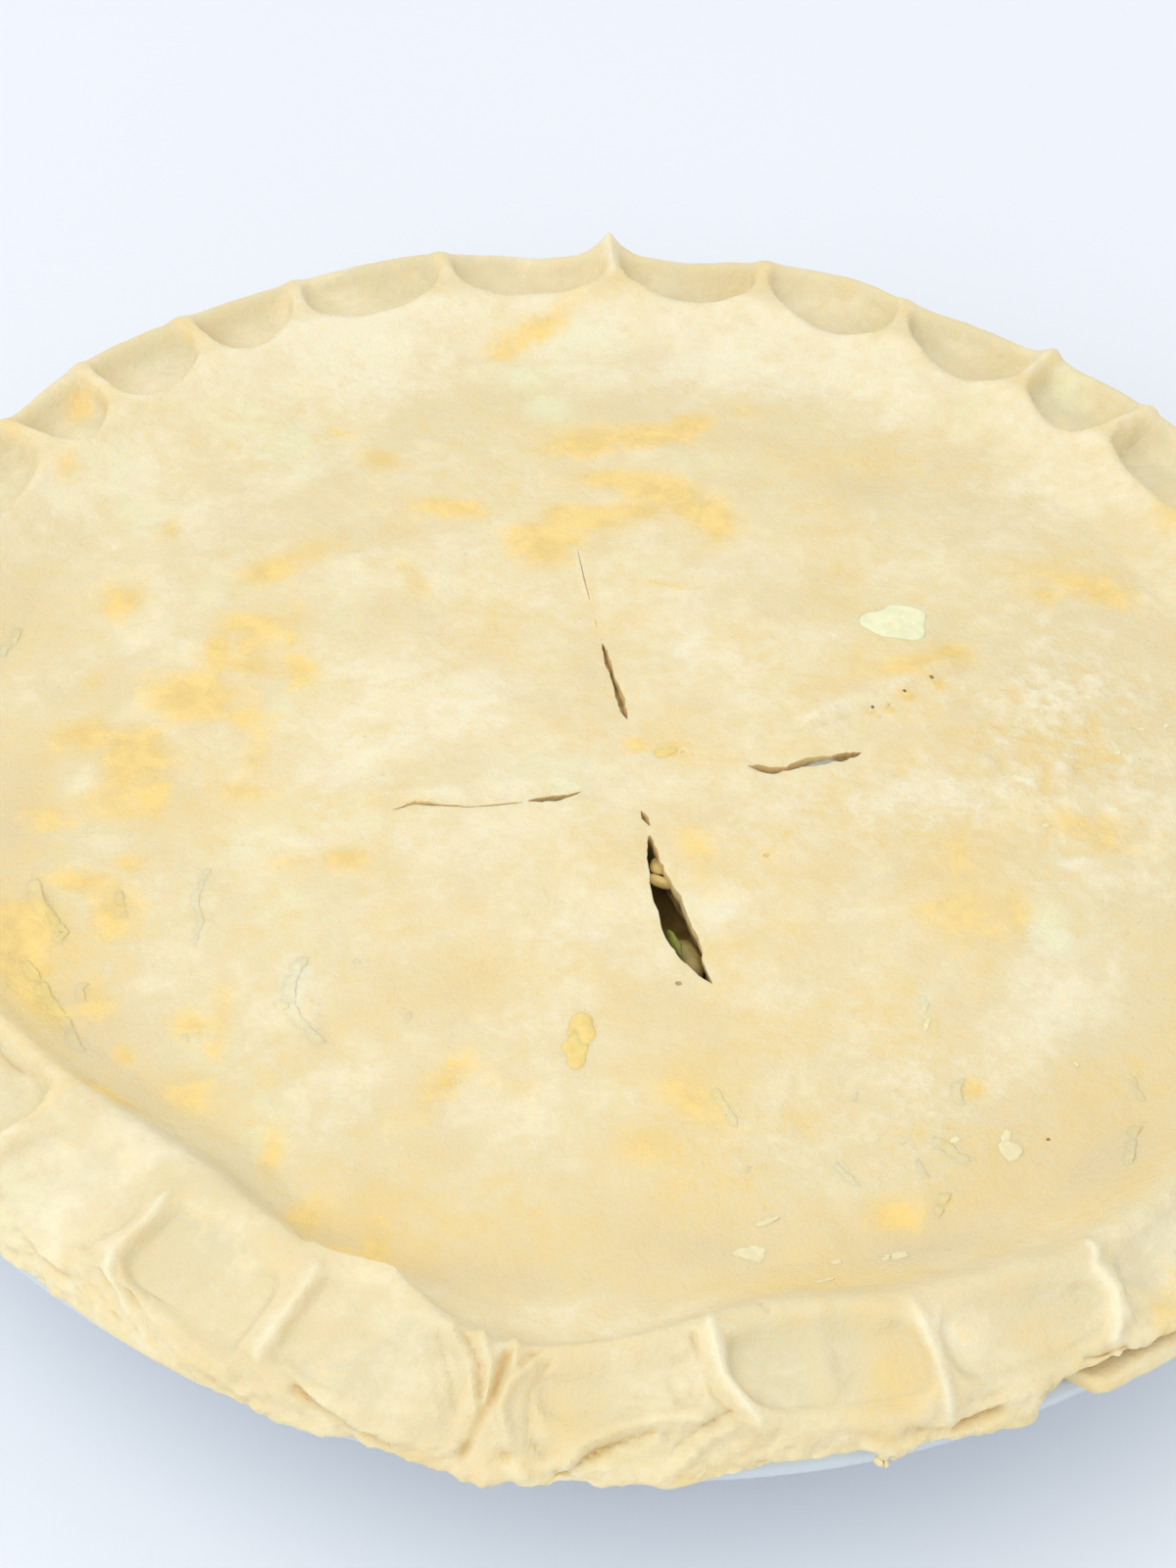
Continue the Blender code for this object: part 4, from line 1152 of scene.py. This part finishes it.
def cut_slits(crust, dough):
    """Cuts the steam slits through the lid and opens the small pits in it."""
    blades = Skin()
    for floor, *path in SLITS:
        rings = slit_blade(floor, path)
        named = blades.loft(rings)
        blades.faces.append(tuple(int(i) for i in named[0][::-1]))
        blades.faces.append(tuple(int(i) for i in named[-1]))
    for number, (x, y, half) in enumerate(PITS):
        level = float(lid_level(np.array(x, float), np.array(y, float), dough))
        pebble(blades, (x, y, level + 0.2), (0.9 * half, 0.7 * half, 0.55), number, 31 + number)
    blade = blades.finish("slit_blades", cut_finish(dough))
    cut = crust.modifiers.new("slits", "BOOLEAN")
    cut.object = blade
    cut.operation = "DIFFERENCE"
    cut.solver = "EXACT"
    cut.material_mode = "TRANSFER"
    bpy.context.view_layer.objects.active = crust
    bpy.ops.object.modifier_apply(modifier=cut.name)
    bpy.data.objects.remove(blade)
    if len(crust.data.polygons) < FEWEST_FACES:
        raise RuntimeError("the steam cuts took the whole lid away")
    crust.data.set_sharp_from_angle(angle=math.radians(50))


def patches(x, y):
    """Strength of the dough's butter, fat, warm, pale, tan and crumbly places at each point."""
    fields = {}
    for name, places in PLACES.items():
        field = np.zeros_like(x)
        for cx, cy, length, width, turn, strength in places:
            cos, sin = math.cos(math.radians(turn)), math.sin(math.radians(turn))
            u, v = (x - cx) * cos + (y - cy) * sin, (y - cy) * cos - (x - cx) * sin
            field = np.maximum(field, strength * np.exp(-((u / length) ** 2) - (v / width) ** 2))
        fields[name] = field
    radius, turn = np.hypot(x, y), np.degrees(np.arctan2(y, x)) % 360
    # Painted shade, warm and grey, lies in the valley inside the rim, above all in front, and grows from the
    # lid's middle out to the rim; painted light makes the valley's rise at the back pale.
    valley_shade = smooth(radius, 80, 93) * (1 - smooth(radius, 96, 104))
    front = smooth(turn, 170, 215) * (1 - smooth(turn, 345, 380))
    fields["warm"] = fields["warm"] + valley_shade * (0.2 + 0.3 * front)
    fields["shade"] = 0.4 * smooth(radius, 45, 85) * (1 - smooth(radius, 98, 106)) + 0.3 * valley_shade * front
    back = smooth(turn, 20, 60) * (1 - smooth(turn, 130, 170))
    back_light = back * smooth(radius, 84, 97) * (1 - smooth(radius, 107, 112))
    fields["pale"] = np.maximum(fields["pale"], 0.75 * back_light)
    fields["shade"] = fields["shade"] * (1 - back_light)
    fields["tan"] = fields["tan"] * (1 - back_light)
    # Crumbs are pale on top and warm between.
    # Painted light on the crumbs' crowns and painted shade between them.
    crumbly = crumbliness(x, y) * (radius < SEAT_RADIUS)
    crumbs = crumbly * flat_lumps(x, y, CRUMB_SIZE, CRUMB_SEED) * 1.3
    fields["pale"] += np.clip(crumbs, 0, 0.8)
    fields["warm"] += np.clip(-crumbs, 0, 0.8)
    return fields


class PIE_OT_top_crust(bpy.types.Operator):
    """Rolls the lid, flutes its rim and cuts the slits"""

    bl_idname = "pie.top_crust"
    bl_label = "Top Crust"

    def execute(self, context):
        dough = context.scene.pot_pie.dough
        rim, deep, sunk, ridge = rim_rings()
        first, last = HALF_RINGS

        def thinned(rings):
            return [
                ring if first <= number <= last else ring[::2] for number, ring in enumerate(rings)
            ]

        outer, creases, prints, ridge_lights = (thinned(rings) for rings in (rim, deep, sunk, ridge))
        angle = np.degrees(np.arctan2(rim[-1][:, 1], rim[-1][:, 0]))
        under = underside_rings(angle, dough)
        lid = lid_rings(outer[-1], dough)
        skin = Skin()
        named = skin.loft([*under, *outer, *lid])
        skin.cap(named[0], (0, 0, dough.lid_under / MM), upward=False)
        skin.cap(named[-1], (0, 0, float(lid[-1][:, 2].mean())), upward=True)

        def fields(points):
            start = sum(len(ring) for ring in under)
            stop = start + sum(len(ring) for ring in outer)
            marks = patches(points[:, 0], points[:, 1])
            # Painted shade in the creases and prints, painted light on the ridges.
            marks["crease"] = np.zeros(len(points))
            marks["crease"][start:stop] = np.concatenate(creases)
            marks["shade"][start:stop] += np.concatenate(prints)
            marks["pale"][start:stop] += np.concatenate(ridge_lights)
            return marks

        crust = skin.finish("top_crust_dough", dough_finish("lid dough", dough), fields)
        cut_slits(crust, dough)
        settle(crust, "lid_dough", "top_crust")
        return {"FINISHED"}


def dish_profile(dish):
    """The dish's section as (radius, height) in mm, from its floor over the rim and foot to underneath."""
    rim, top, foot, wall = dish.radius / MM, dish.height / MM, dish.foot_radius / MM, dish.wall / MM
    return (
        (0, wall), (40, wall), (foot - 6, wall), (foot, wall + 1.6), (foot + 3.6, wall + 5.4),
        (foot + 12, 21), (foot + 20.5, top - 5), (foot + 22.6, top - 1.6), (foot + 25.5, top),
        (rim - 6, top + 0.1), (rim - 1.6, top - 0.1), (rim - 0.2, top - 1.4), (rim, top - 2.6),
        (rim - 0.3, top - 3.9), (rim - 1.6, top - 4.9), (rim - 5, top - 4.6), (rim - 8.6, top - 4.9),
        (rim - 10.4, top - 7), (foot + 18.6, 17), (foot + 9.4, 5.6), (foot + 3.4, 1.9), (foot, 0.5),
        (foot - 1.2, 0.0), (foot - 4.6, 0.0), (foot - 5.9, 0.6), (foot - 7.4, 1.6), (foot - 20, 1.7),
        (20, 1.7), (0, 1.7),
    )


class PIE_OT_dish(bpy.types.Operator):
    """Turns the white glazed pie dish"""

    bl_idname = "pie.dish"
    bl_label = "Pie Dish"

    def execute(self, context):
        dish = context.scene.pot_pie.dish
        angle = np.arange(0, 360, 1.5)[::-1]
        profile = np.array(dish_profile(dish), float)
        curve = spline_rings(list(profile[1:-1]), [4] * (len(profile) - 3))
        rings = [polar(np.full(len(angle), r), angle, z) for r, z in curve]
        rings = np.array(rings)
        rings = rings + normals_of(rings) * -0.12 * lumps(rings, 22, 41)[..., None]
        rings[..., 2] = np.maximum(rings[..., 2], 0)
        skin = Skin()
        named = skin.loft(rings)
        skin.cap(named[0], (0, 0, profile[0, 1]), upward=False)
        skin.cap(named[-1], (0, 0, profile[-1, 1]), upward=True)
        bowl = skin.finish("pie_dish_glazed", glaze_finish(dish))
        settle(bowl, "dish_glaze", "pie_dish")
        return {"FINISHED"}


def glaze_finish(dish):
    """White tin glaze, its blue-grey colour painting the dish's shade, with a faint pooling of tone and a
    soft wave.
    """
    made = Finish("dish glaze")
    pooled = made.noise(0.020, 2)
    color = made.blend(made.span(pooled, 0.35, 0.7), tint(dish.glaze, 0.97), tint(dish.glaze, 1.02))
    specks = made.noise(0.0011, 1)
    color = made.blend(made.span(specks, 0.74, 0.80, 0, 0.12), color, tint(dish.glaze, 0.7))
    wave = made.bump(made.noise(0.012, 2), 0.0006, 0.15)
    rough = made.span(pooled, 0.3, 0.7, dish.roughness - 0.03, dish.roughness + 0.05)
    made.surface(Base_Color=color, Roughness=rough, Normal=wave)
    return made.surface(IOR=1.5, Coat_Weight=0.4, Coat_Roughness=0.08)


class PIE_OT_bottom_crust(bpy.types.Operator):
    """Lines the dish with dough and leaves its ragged edge on the flange"""

    bl_idname = "pie.bottom_crust"
    bl_label = "Bottom Crust"

    def execute(self, context):
        settings = context.scene.pot_pie
        dish, dough = settings.dish, settings.dough
        thick = 3.2
        gap = 0.3
        angle = np.arange(0, 360, 0.75)[::-1]
        edge = around(LINING_RADIUS, 0.35)(angle)
        foot = dish.foot_radius / MM
        top = dish.height / MM
        side = (
            (4, 5.0), (foot - 6, 5.0), (foot, 6.8), (foot + 3.8, 10.8), (foot + 12, 21.4),
            (foot + 20, top - 4.6), (foot + 24.5, top - 0.2),
        )
        inner = [
            (r, z + gap + thick) if r <= foot else (r - thick, z + gap + 0.55 * thick)
            for r, z in side
        ]
        inner[-1] = (foot + 23.2, top + gap + thick - 0.2)
        full = np.ones_like(angle)
        controls = [np.stack([r * full, z * full], axis=-1) for r, z in inner]
        low, high = top + gap, top + gap + thick - 0.1
        tail = (
            (edge - 3.5, high), (edge - 0.9, high - 0.15), (edge, high - 1.0),
            (edge + 0.15, low + 0.9), (edge - 0.9, low - 0.05), (edge - 4, low),
        )
        controls += [np.stack([r, z * full], axis=-1) for r, z in tail]
        controls += [np.stack([r * full, (z + gap) * full], axis=-1) for r, z in side[::-1]]
        counts = [2, 2, 2, 3, 3, 3, 3, 3, 4, 5, 4, 3, 3, 3, 2, 2, 2, 2, 2]
        plan = spline_rings(controls, counts)
        rings = polar(plan[..., 0], angle[None, :], plan[..., 1])
        ragged = smooth(np.hypot(rings[..., 0], rings[..., 1]), 116, 120)
        rise = ragged * (0.5 * lumps(rings, 5, 51) + 0.28 * lumps(rings, 2, 52))
        rings = rings - normals_of(rings) * rise[..., None]
        skin = Skin()
        named = skin.loft(rings)
        skin.cap(named[0], (0, 0, float(plan[0, 0, 1])), upward=False)
        skin.cap(named[-1], (0, 0, float(plan[-1, 0, 1])), upward=True)
        crust = skin.finish("bottom_crust_dough", dough_finish("lining dough", dough, 0.05))
        settle(crust, "lining_dough", "bottom_crust")
        return {"FINISHED"}


def stew_finish(stew):
    """Thick brown gravy, darkened as painted shade under the lid, glossy, with green flecks in it."""
    made = Finish("gravy")
    cloud = made.noise(0.007, 4, 0.6)
    flecks = made.noise(0.0012, 2)
    color = made.blend(made.span(cloud, 0.35, 0.7), tint(stew.gravy, 0.7), tint(stew.gravy, 1.8))
    color = made.blend(made.span(flecks, 0.66, 0.74, 0, 0.7), color, tuple(stew.herbs))
    rough = made.span(cloud, 0.3, 0.7, 0.28, 0.42)
    normal = made.bump(made.noise(0.002, 3), 0.0006, 0.4)
    return made.surface(Base_Color=color, Roughness=rough, Normal=normal, IOR=1.4)


class PIE_OT_stew(bpy.types.Operator):
    """Fills the pie with stew up to just under the lid"""

    bl_idname = "pie.stew"
    bl_label = "Stew"

    def execute(self, context):
        settings = context.scene.pot_pie
        stew, dough = settings.stew, settings.dough
        angle = np.arange(0, 360, 1.5)[::-1]
        wide, low = STEW_HIGH.x / MM, STEW_LOW.z / MM
        under, drop = dough.lid_under / MM, stew.drop / MM
        wall = (
            (wide - 28, low), (wide - 23, low + 2), (wide - 12, low + 15), (wide - 3, low + 27),
            (wide - 1.5, 37.6),
        )
        rings = []
        for radius in np.linspace(2, wide - 4, 90):
            plan = polar(np.full(len(angle), radius), angle, 0)
            level = underside(radius, under) - drop - 0.9 * smooth(radius, 85, 103)
            plan[:, 2] = level - 0.5 + 0.7 * lumps(plan, 8, 61) + 0.35 * lumps(plan, 3, 62)
            plan[:, 2] = np.minimum(plan[:, 2], level)
            rings.append(plan)
        rings += [polar(np.full(len(angle), r), angle, z) for r, z in wall[::-1]]
        rings += [polar(np.full(len(angle), r), angle, low - 0.1) for r in (wide - 40, 30.0)]
        skin = Skin()
        named = skin.loft(rings)
        skin.cap(named[0], (0, 0, float(rings[0][:, 2].mean())), upward=False)
        skin.cap(named[-1], (0, 0, low - 0.1), upward=True)
        filling = skin.finish("stew_gravy", stew_finish(stew))
        settle(filling, "stew", "filling")
        return {"FINISHED"}


def pebble(skin, centre, radii, turn, seed, flatness=0.0, lay=0.0):
    """Adds one uneven rounded lump, tipped a little by turn and laid at an angle on the pie."""
    rng = np.random.default_rng(seed)
    steps = np.linspace(0.12, 0.88, 9)
    angle = np.arange(0, 360, 20)
    tip = Quaternion(Vector(rng.normal(size=3)).normalized(), turn)
    spin = (Quaternion((0, 0, 1), math.radians(lay)) @ tip).to_matrix()
    rings = []
    for t in steps:
        lean = (1 - 2 * t) * 90
        ring = polar(np.full(len(angle), math.cos(math.radians(lean))), angle, -math.sin(math.radians(lean)))
        rings.append(ring)
    rings = np.array(rings)
    rings = rings * (1 + 0.16 * lumps(rings, 0.8, seed))[..., None]
    if flatness:
        rings = np.sign(rings) * np.abs(rings) ** (1 - flatness)
    poles = np.array([(0, 0, -0.95), (0, 0, 0.95)])
    shape = [
        (points * np.array(radii)) @ np.array(spin).T + np.array(centre) for points in (*rings, poles)
    ]
    named = skin.loft(shape[:-1])
    skin.cap(named[0], tuple(shape[-1][0]), upward=False)
    skin.cap(named[-1], tuple(shape[-1][1]), upward=True)


def bit_finish(name, color, mottle, gloss):
    """A cooked bit of the filling, wet with gravy."""
    made = Finish(name)
    cloud = made.noise(mottle, 3)
    tone = made.blend(made.span(cloud, 0.3, 0.7), tint(color, 0.72), tint(color, 1.15))
    normal = made.bump(made.noise(mottle * 0.4, 3), 0.0004, 0.4)
    rough = made.span(cloud, 0.3, 0.7, gloss, gloss + 0.12)
    return made.surface(Base_Color=tone, Roughness=rough, Normal=normal, IOR=1.42)


class PIE_OT_stew_bits(bpy.types.Operator):
    """Puts the lumps of stew and dough that show in the cuts, the sauce, chunk and dough darkened as painted
    shade
    """

    bl_idname = "pie.stew_bits"
    bl_label = "Stew Bits"

    def execute(self, context):
        stew, dough = context.scene.pot_pie.stew, context.scene.pot_pie.dough
        finishes = {
            "set_sauce": bit_finish("set sauce", stew.sauce, 0.003, 0.4),
            "gravy_chunk": bit_finish("chunk in gravy", stew.chunk, 0.003, 0.35),
            "green_stalk": bit_finish("green stalk", stew.stalk, 0.003, 0.35),
            # Darkened as painted shade, down in the cut.
            "dough_bridge": bit_finish("soft wet dough", dough.wet, 0.0015, 0.45),
        }
        for name, (slot, *bits) in BITS.items():
            skin = Skin()
            for centre, radii, tip, seed, flatness, lay in bits:
                pebble(skin, centre, radii, tip, seed, flatness, lay)
            settle(skin.finish(name, finishes[name]), slot)
        return {"FINISHED"}


# A flake's section: share of its width, and height in thicknesses.
FLAKE_SECTION = ((0.6, -1.1), (1.0, -1.0), (1.02, -0.1), (0.95, 0.35), (0.78, 0.6), (0.4, 0.7))


def scrap(skin, ground, x, y, length, width, thick, turn, seed, lift):
    """Adds one thin ragged flake that lies on the dough and curls up a little at one end."""
    rng = np.random.default_rng(seed)
    angle = np.arange(0, 360, 12.0)
    reach = 1 + sum(
        rng.normal(0, 0.13 / math.sqrt(wave - 1)) * np.cos(np.radians(wave * angle + rng.uniform(0, 360)))
        for wave in (2, 3, 4, 5, 7)
    )
    spin = math.radians(turn)
    rings = []
    for share, height in FLAKE_SECTION:
        u = reach * share * length * np.cos(np.radians(angle))
        v = reach * share * width * np.sin(np.radians(angle))
        at_x = x + u * math.cos(spin) - v * math.sin(spin)
        at_y = y + u * math.sin(spin) + v * math.cos(spin)
        level = ground(at_x, at_y) + height * thick + lift * (u / length) ** 2 * (u > 0)
        level = level + 0.10 * flat_lumps(at_x, at_y, 1.2, seed)
        rings.append(np.stack([at_x, at_y, level], axis=-1))
    named = skin.loft(rings)
    skin.cap(named[0], tuple(rings[0].mean(0)), upward=False)
    skin.cap(named[-1], tuple(rings[-1].mean(0)), upward=True)


# A torn edge's section: share of its reach, share of its height, and mm that it sinks into the lid.
TEAR_SECTION = (
    (0.0, 0.0, 0.8), (1.7, 0.0, 0.8), (1.8, 0.0, 0.5), (1.4, 0.0, 0.25), (1.1, 0.04, 0.13),
    (0.85, 0.14, 0.07), (0.6, 0.32, 0.04), (0.3, 0.65, 0.05), (0.08, 1.0, 0.05),
    (-0.03, 0.85, 0.05), (-0.08, 0.3, 0.1), (-0.02, -0.2, 0.3),
)
# The section's lip gets painted shade from this point on.
TEAR_LIP = 9


def tear(skin, height, reach, path, ground, seed):
    """Adds a torn edge: a tongue of dough, flush with the lid on its left, that ends in a ragged lip."""
    points = np.array(path, float)
    run = np.concatenate([[0], np.cumsum(np.hypot(*np.diff(points, axis=0).T))])
    place = np.linspace(0, run[-1], max(8, int(run[-1] / 0.28)))
    x, y = np.interp(place, run, points[:, 0]), np.interp(place, run, points[:, 1])
    dx, dy = np.gradient(x), np.gradient(y)
    length = np.hypot(dx, dy)
    dx, dy = dx / length, dy / length
    jitter = 0.18 * flat_lumps(x, y, 0.9, seed) + 0.3 * flat_lumps(x, y, 2.6, seed + 1)
    end = np.sqrt(np.clip(np.minimum(place, run[-1] - place) / 1.2, 0, 1))
    tall = height * end * np.clip(0.9 + 1.1 * flat_lumps(x, y, 1.5, seed + 2), 0.0, 1.6)
    rings = []
    for side, rise, sink in TEAR_SECTION:
        reaching = side * reach * (0.6 + 0.4 * end) + jitter
        at_x, at_y = x - dy * reaching, y + dx * reaching
        rings.append(np.stack([at_x, at_y, ground(at_x, at_y) + rise * tall - sink], axis=-1))
    count = len(rings)
    first = [skin.add(ring) for ring in np.array(rings).transpose(1, 0, 2)]
    for a, b in zip(first, first[1:]):
        for i in range(count):
            j = (i + 1) % count
            skin.faces.append((int(a[i]), int(a[j]), int(b[j]), int(b[i])))
    skin.faces.append(tuple(int(i) for i in first[0][::-1]))
    skin.faces.append(tuple(int(i) for i in first[-1]))
    # Painted shade on the torn lip.
    lip_shade = np.zeros((len(place), count))
    lip_shade[:, TEAR_LIP:] = 1
    return lip_shade.reshape(-1)


def surface_of(crust, dough):
    """A function that gives the finished lid's height over its plan, in mm, and bridges the cuts."""
    mesh = crust.data
    tree = BVHTree.FromPolygons([v.co for v in mesh.vertices], [tuple(f.vertices) for f in mesh.polygons])
    down = Vector((0, 0, -1))

    def ground(x, y):
        x, y = np.broadcast_arrays(np.asarray(x, float), np.asarray(y, float))
        level = lid_level(x, y, dough)
        for place in np.ndindex(level.shape):
            hit = tree.ray_cast(Vector((x[place] * MM, y[place] * MM, PROBE_HEIGHT)), down)[0]
            if hit and hit.z / MM > level[place] - DEEPEST_DIP:
                level[place] = hit.z / MM
        return level

    return ground


def strew_crumbs(skin, ground):
    """Strews crumbs over the lid, thickest at the right and at the front right."""
    rng = np.random.default_rng(12)
    for number in range(CRUMB_TRIES):
        radius, turn = 92 * math.sqrt(rng.uniform()), rng.uniform(0, 360)
        x, y = radius * math.cos(math.radians(turn)), radius * math.sin(math.radians(turn))
        crowded = math.exp(-(((x - 66) / 20) ** 2) - ((y - 12) / 28) ** 2)
        crowded += 0.6 * math.exp(-(((x - 48) / 24) ** 2) - ((y + 68) / 18) ** 2)
        if rng.uniform() > 0.06 + 0.6 * crowded:
            continue
        size = rng.uniform(0.12, 0.26) * (1 + 0.8 * crowded)
        length = size * rng.uniform(1, 2)
        scrap(skin, ground, x, y, length, size, 0.6 * size, rng.uniform(0, 360), 600 + number, 0.1)


class PIE_OT_scraps(bpy.types.Operator):
    """Lays butter flakes, dough flakes, torn edges and crumbs on the pie"""

    bl_idname = "pie.scraps"
    bl_label = "Flakes and Crumbs"

    def execute(self, context):
        dough = context.scene.pot_pie.dough
        ground = surface_of(bpy.data.objects["top_crust_dough"], dough)

        flakes = Skin()
        for number, (x, y, long, wide, turn, curl) in enumerate(FLAKES):
            scrap(flakes, ground, x, y, long, wide, 0.18, turn, 100 + number, 0.5 * curl)
        strew_crumbs(flakes, ground)
        for number, (turn, out, height) in enumerate(HANGING_BITS):
            spot = polar(np.array([out]), np.array([turn]), height)[0]
            pebble(flakes, tuple(spot), (0.8, 0.4, 0.75), 0.7 * number, 520 + number, 0.2)
        settle(flakes.finish("dough_flakes", flake_finish("dough flake", dough.flake)), "lid_dough")

        edges = Skin()
        # Each torn lip's painted shade, by the table's strength.
        lip_shade = [
            tear(edges, 0.6 * height, 1.9 * reach, path, ground, 300 + 5 * number) * (0.15 + 0.5 * warm)
            for number, (height, reach, warm, *path) in enumerate(TEARS)
        ]

        def fields(points):
            return {**patches(points[:, 0], points[:, 1]), "crease": np.concatenate(lip_shade)}

        settle(edges.finish("torn_edges", dough_finish("torn dough", dough), fields), "lid_dough")

        butter = Skin()
        scrap(butter, ground, *BUTTER_FLAKE)
        settle(butter.finish("butter_flake", flake_finish("cold butter", dough.cold_butter)), "lid_dough")
        curl = Skin()
        for flake in YELLOW_FLAKES:
            scrap(curl, ground, *flake)
        yellow = flake_finish("yellow butter", tint(dough.butter, 1.08))
        settle(curl.finish("yellow_flakes", yellow), "lid_dough")
        return {"FINISHED"}


def flake_finish(name, color):
    """A loose scrap of dough or cold butter."""
    made = Finish(name)
    cloud = made.noise(0.002, 3)
    tone = made.blend(made.span(cloud, 0.3, 0.7), tint(color, 0.95), tint(color, 1.06))
    normal = made.bump(made.noise(0.0008, 3), 0.0002, 0.4)
    rough = made.span(cloud, 0.3, 0.7, 0.5, 0.65)
    made.surface(Base_Color=tone, Roughness=rough, Normal=normal)
    return made.surface(Subsurface_Weight=0.2, Subsurface_Scale=0.002)


# The stage, in metres, with the camera's sensor in mm.
TABLE_WIDTH = 6.0
KEY_PLACE = (-0.55, -0.65, 1.2)
KEY_SIZE = 1.7
SENSOR_WIDTH = 36
AIM = Vector((-0.0048, -0.0035, 0.045))


class PIE_OT_stage(bpy.types.Operator):
    """Sets the table, the soft light and the camera"""

    bl_idname = "pie.stage"
    bl_label = "Stage"

    def execute(self, context):
        stage = context.scene.pot_pie.stage
        scene = context.scene
        half = TABLE_WIDTH / 2
        mesh = bpy.data.meshes.new("table_top")
        corners = [(-half, -half, 0), (half, -half, 0), (half, half, 0), (-half, half, 0)]
        mesh.from_pydata(corners, [], [(0, 1, 2, 3)])
        floor = bpy.data.objects.new("table_top", mesh)
        scene.collection.objects.link(floor)
        made = Finish("table top")
        cloud = made.noise(0.25, 3)
        tone = made.blend(made.span(cloud, 0.3, 0.7), tint(stage.floor, 0.99), tint(stage.floor, 1.01))
        made.surface(Base_Color=tone, Roughness=0.55)
        mesh.materials.append(made.material)

        world = bpy.data.worlds.new("soft sky")
        world.use_nodes = True
        light = world.node_tree.nodes["Background"].inputs
        light["Color"].default_value = (*stage.sky_tint, 1)
        light["Strength"].default_value = stage.sky
        scene.world = world

        lamp = bpy.data.lights.new("key light", "AREA")
        lamp.shape = "DISK"
        lamp.size = KEY_SIZE
        lamp.energy = stage.key_power
        key = bpy.data.objects.new("key light", lamp)
        key.location = KEY_PLACE
        key.rotation_euler = (Vector((0, 0, 0.04)) - key.location).to_track_quat("-Z", "Y").to_euler()
        scene.collection.objects.link(key)

        camera = bpy.data.cameras.new("camera")
        camera.lens = stage.focal_length
        camera.sensor_width = SENSOR_WIDTH
        camera.clip_start = 0.01
        eye = bpy.data.objects.new("camera", camera)
        back = Vector((0, -math.cos(stage.elevation), math.sin(stage.elevation)))
        eye.location = Vector((0, 0, AIM.z)) + back * stage.distance
        look = (AIM - eye.location).to_track_quat("-Z", "Y")
        eye.rotation_mode = "QUATERNION"
        eye.rotation_quaternion = look @ Quaternion((0, 0, 1), stage.roll)
        scene.collection.objects.link(eye)
        scene.camera = eye
        scene.view_settings.view_transform = "Standard"
        return {"FINISHED"}


class PIE_PT_panel(bpy.types.Panel):
    """Lists the steps of the pie"""

    bl_idname = "PIE_PT_panel"
    bl_label = "Pot Pie"
    bl_space_type = "VIEW_3D"
    bl_region_type = "UI"
    bl_category = "Pot Pie"

    def draw(self, context):
        settings = context.scene.pot_pie
        for step in STEPS:
            self.layout.operator(step.bl_idname)
        for group in (settings.dish, settings.dough, settings.stew, settings.stage):
            box = self.layout.box()
            for name in group.__annotations__:
                box.prop(group, name)


STEPS = (
    PIE_OT_dish,
    PIE_OT_bottom_crust,
    PIE_OT_stew,
    PIE_OT_stew_bits,
    PIE_OT_top_crust,
    PIE_OT_scraps,
    PIE_OT_stage,
)
GROUPS = (PieDishSettings, PieDoughSettings, PieStewSettings, PieStageSettings, PiePotSettings)
CLASSES = (*GROUPS, *STEPS, PIE_PT_panel)


def register():
    for made in CLASSES:
        bpy.utils.register_class(made)
    bpy.types.Scene.pot_pie = bpy.props.PointerProperty(
        type=PiePotSettings, name="Pot pie", description="Settings of the pot pie"
    )


def unregister():
    del bpy.types.Scene.pot_pie
    for made in reversed(CLASSES):
        bpy.utils.unregister_class(made)


def main():
    register()
    bpy.ops.pie.dish()
    bpy.ops.pie.bottom_crust()
    bpy.ops.pie.stew()
    bpy.ops.pie.stew_bits()
    bpy.ops.pie.top_crust()
    bpy.ops.pie.scraps()
    bpy.ops.pie.stage()


if __name__ == "__main__":
    main()
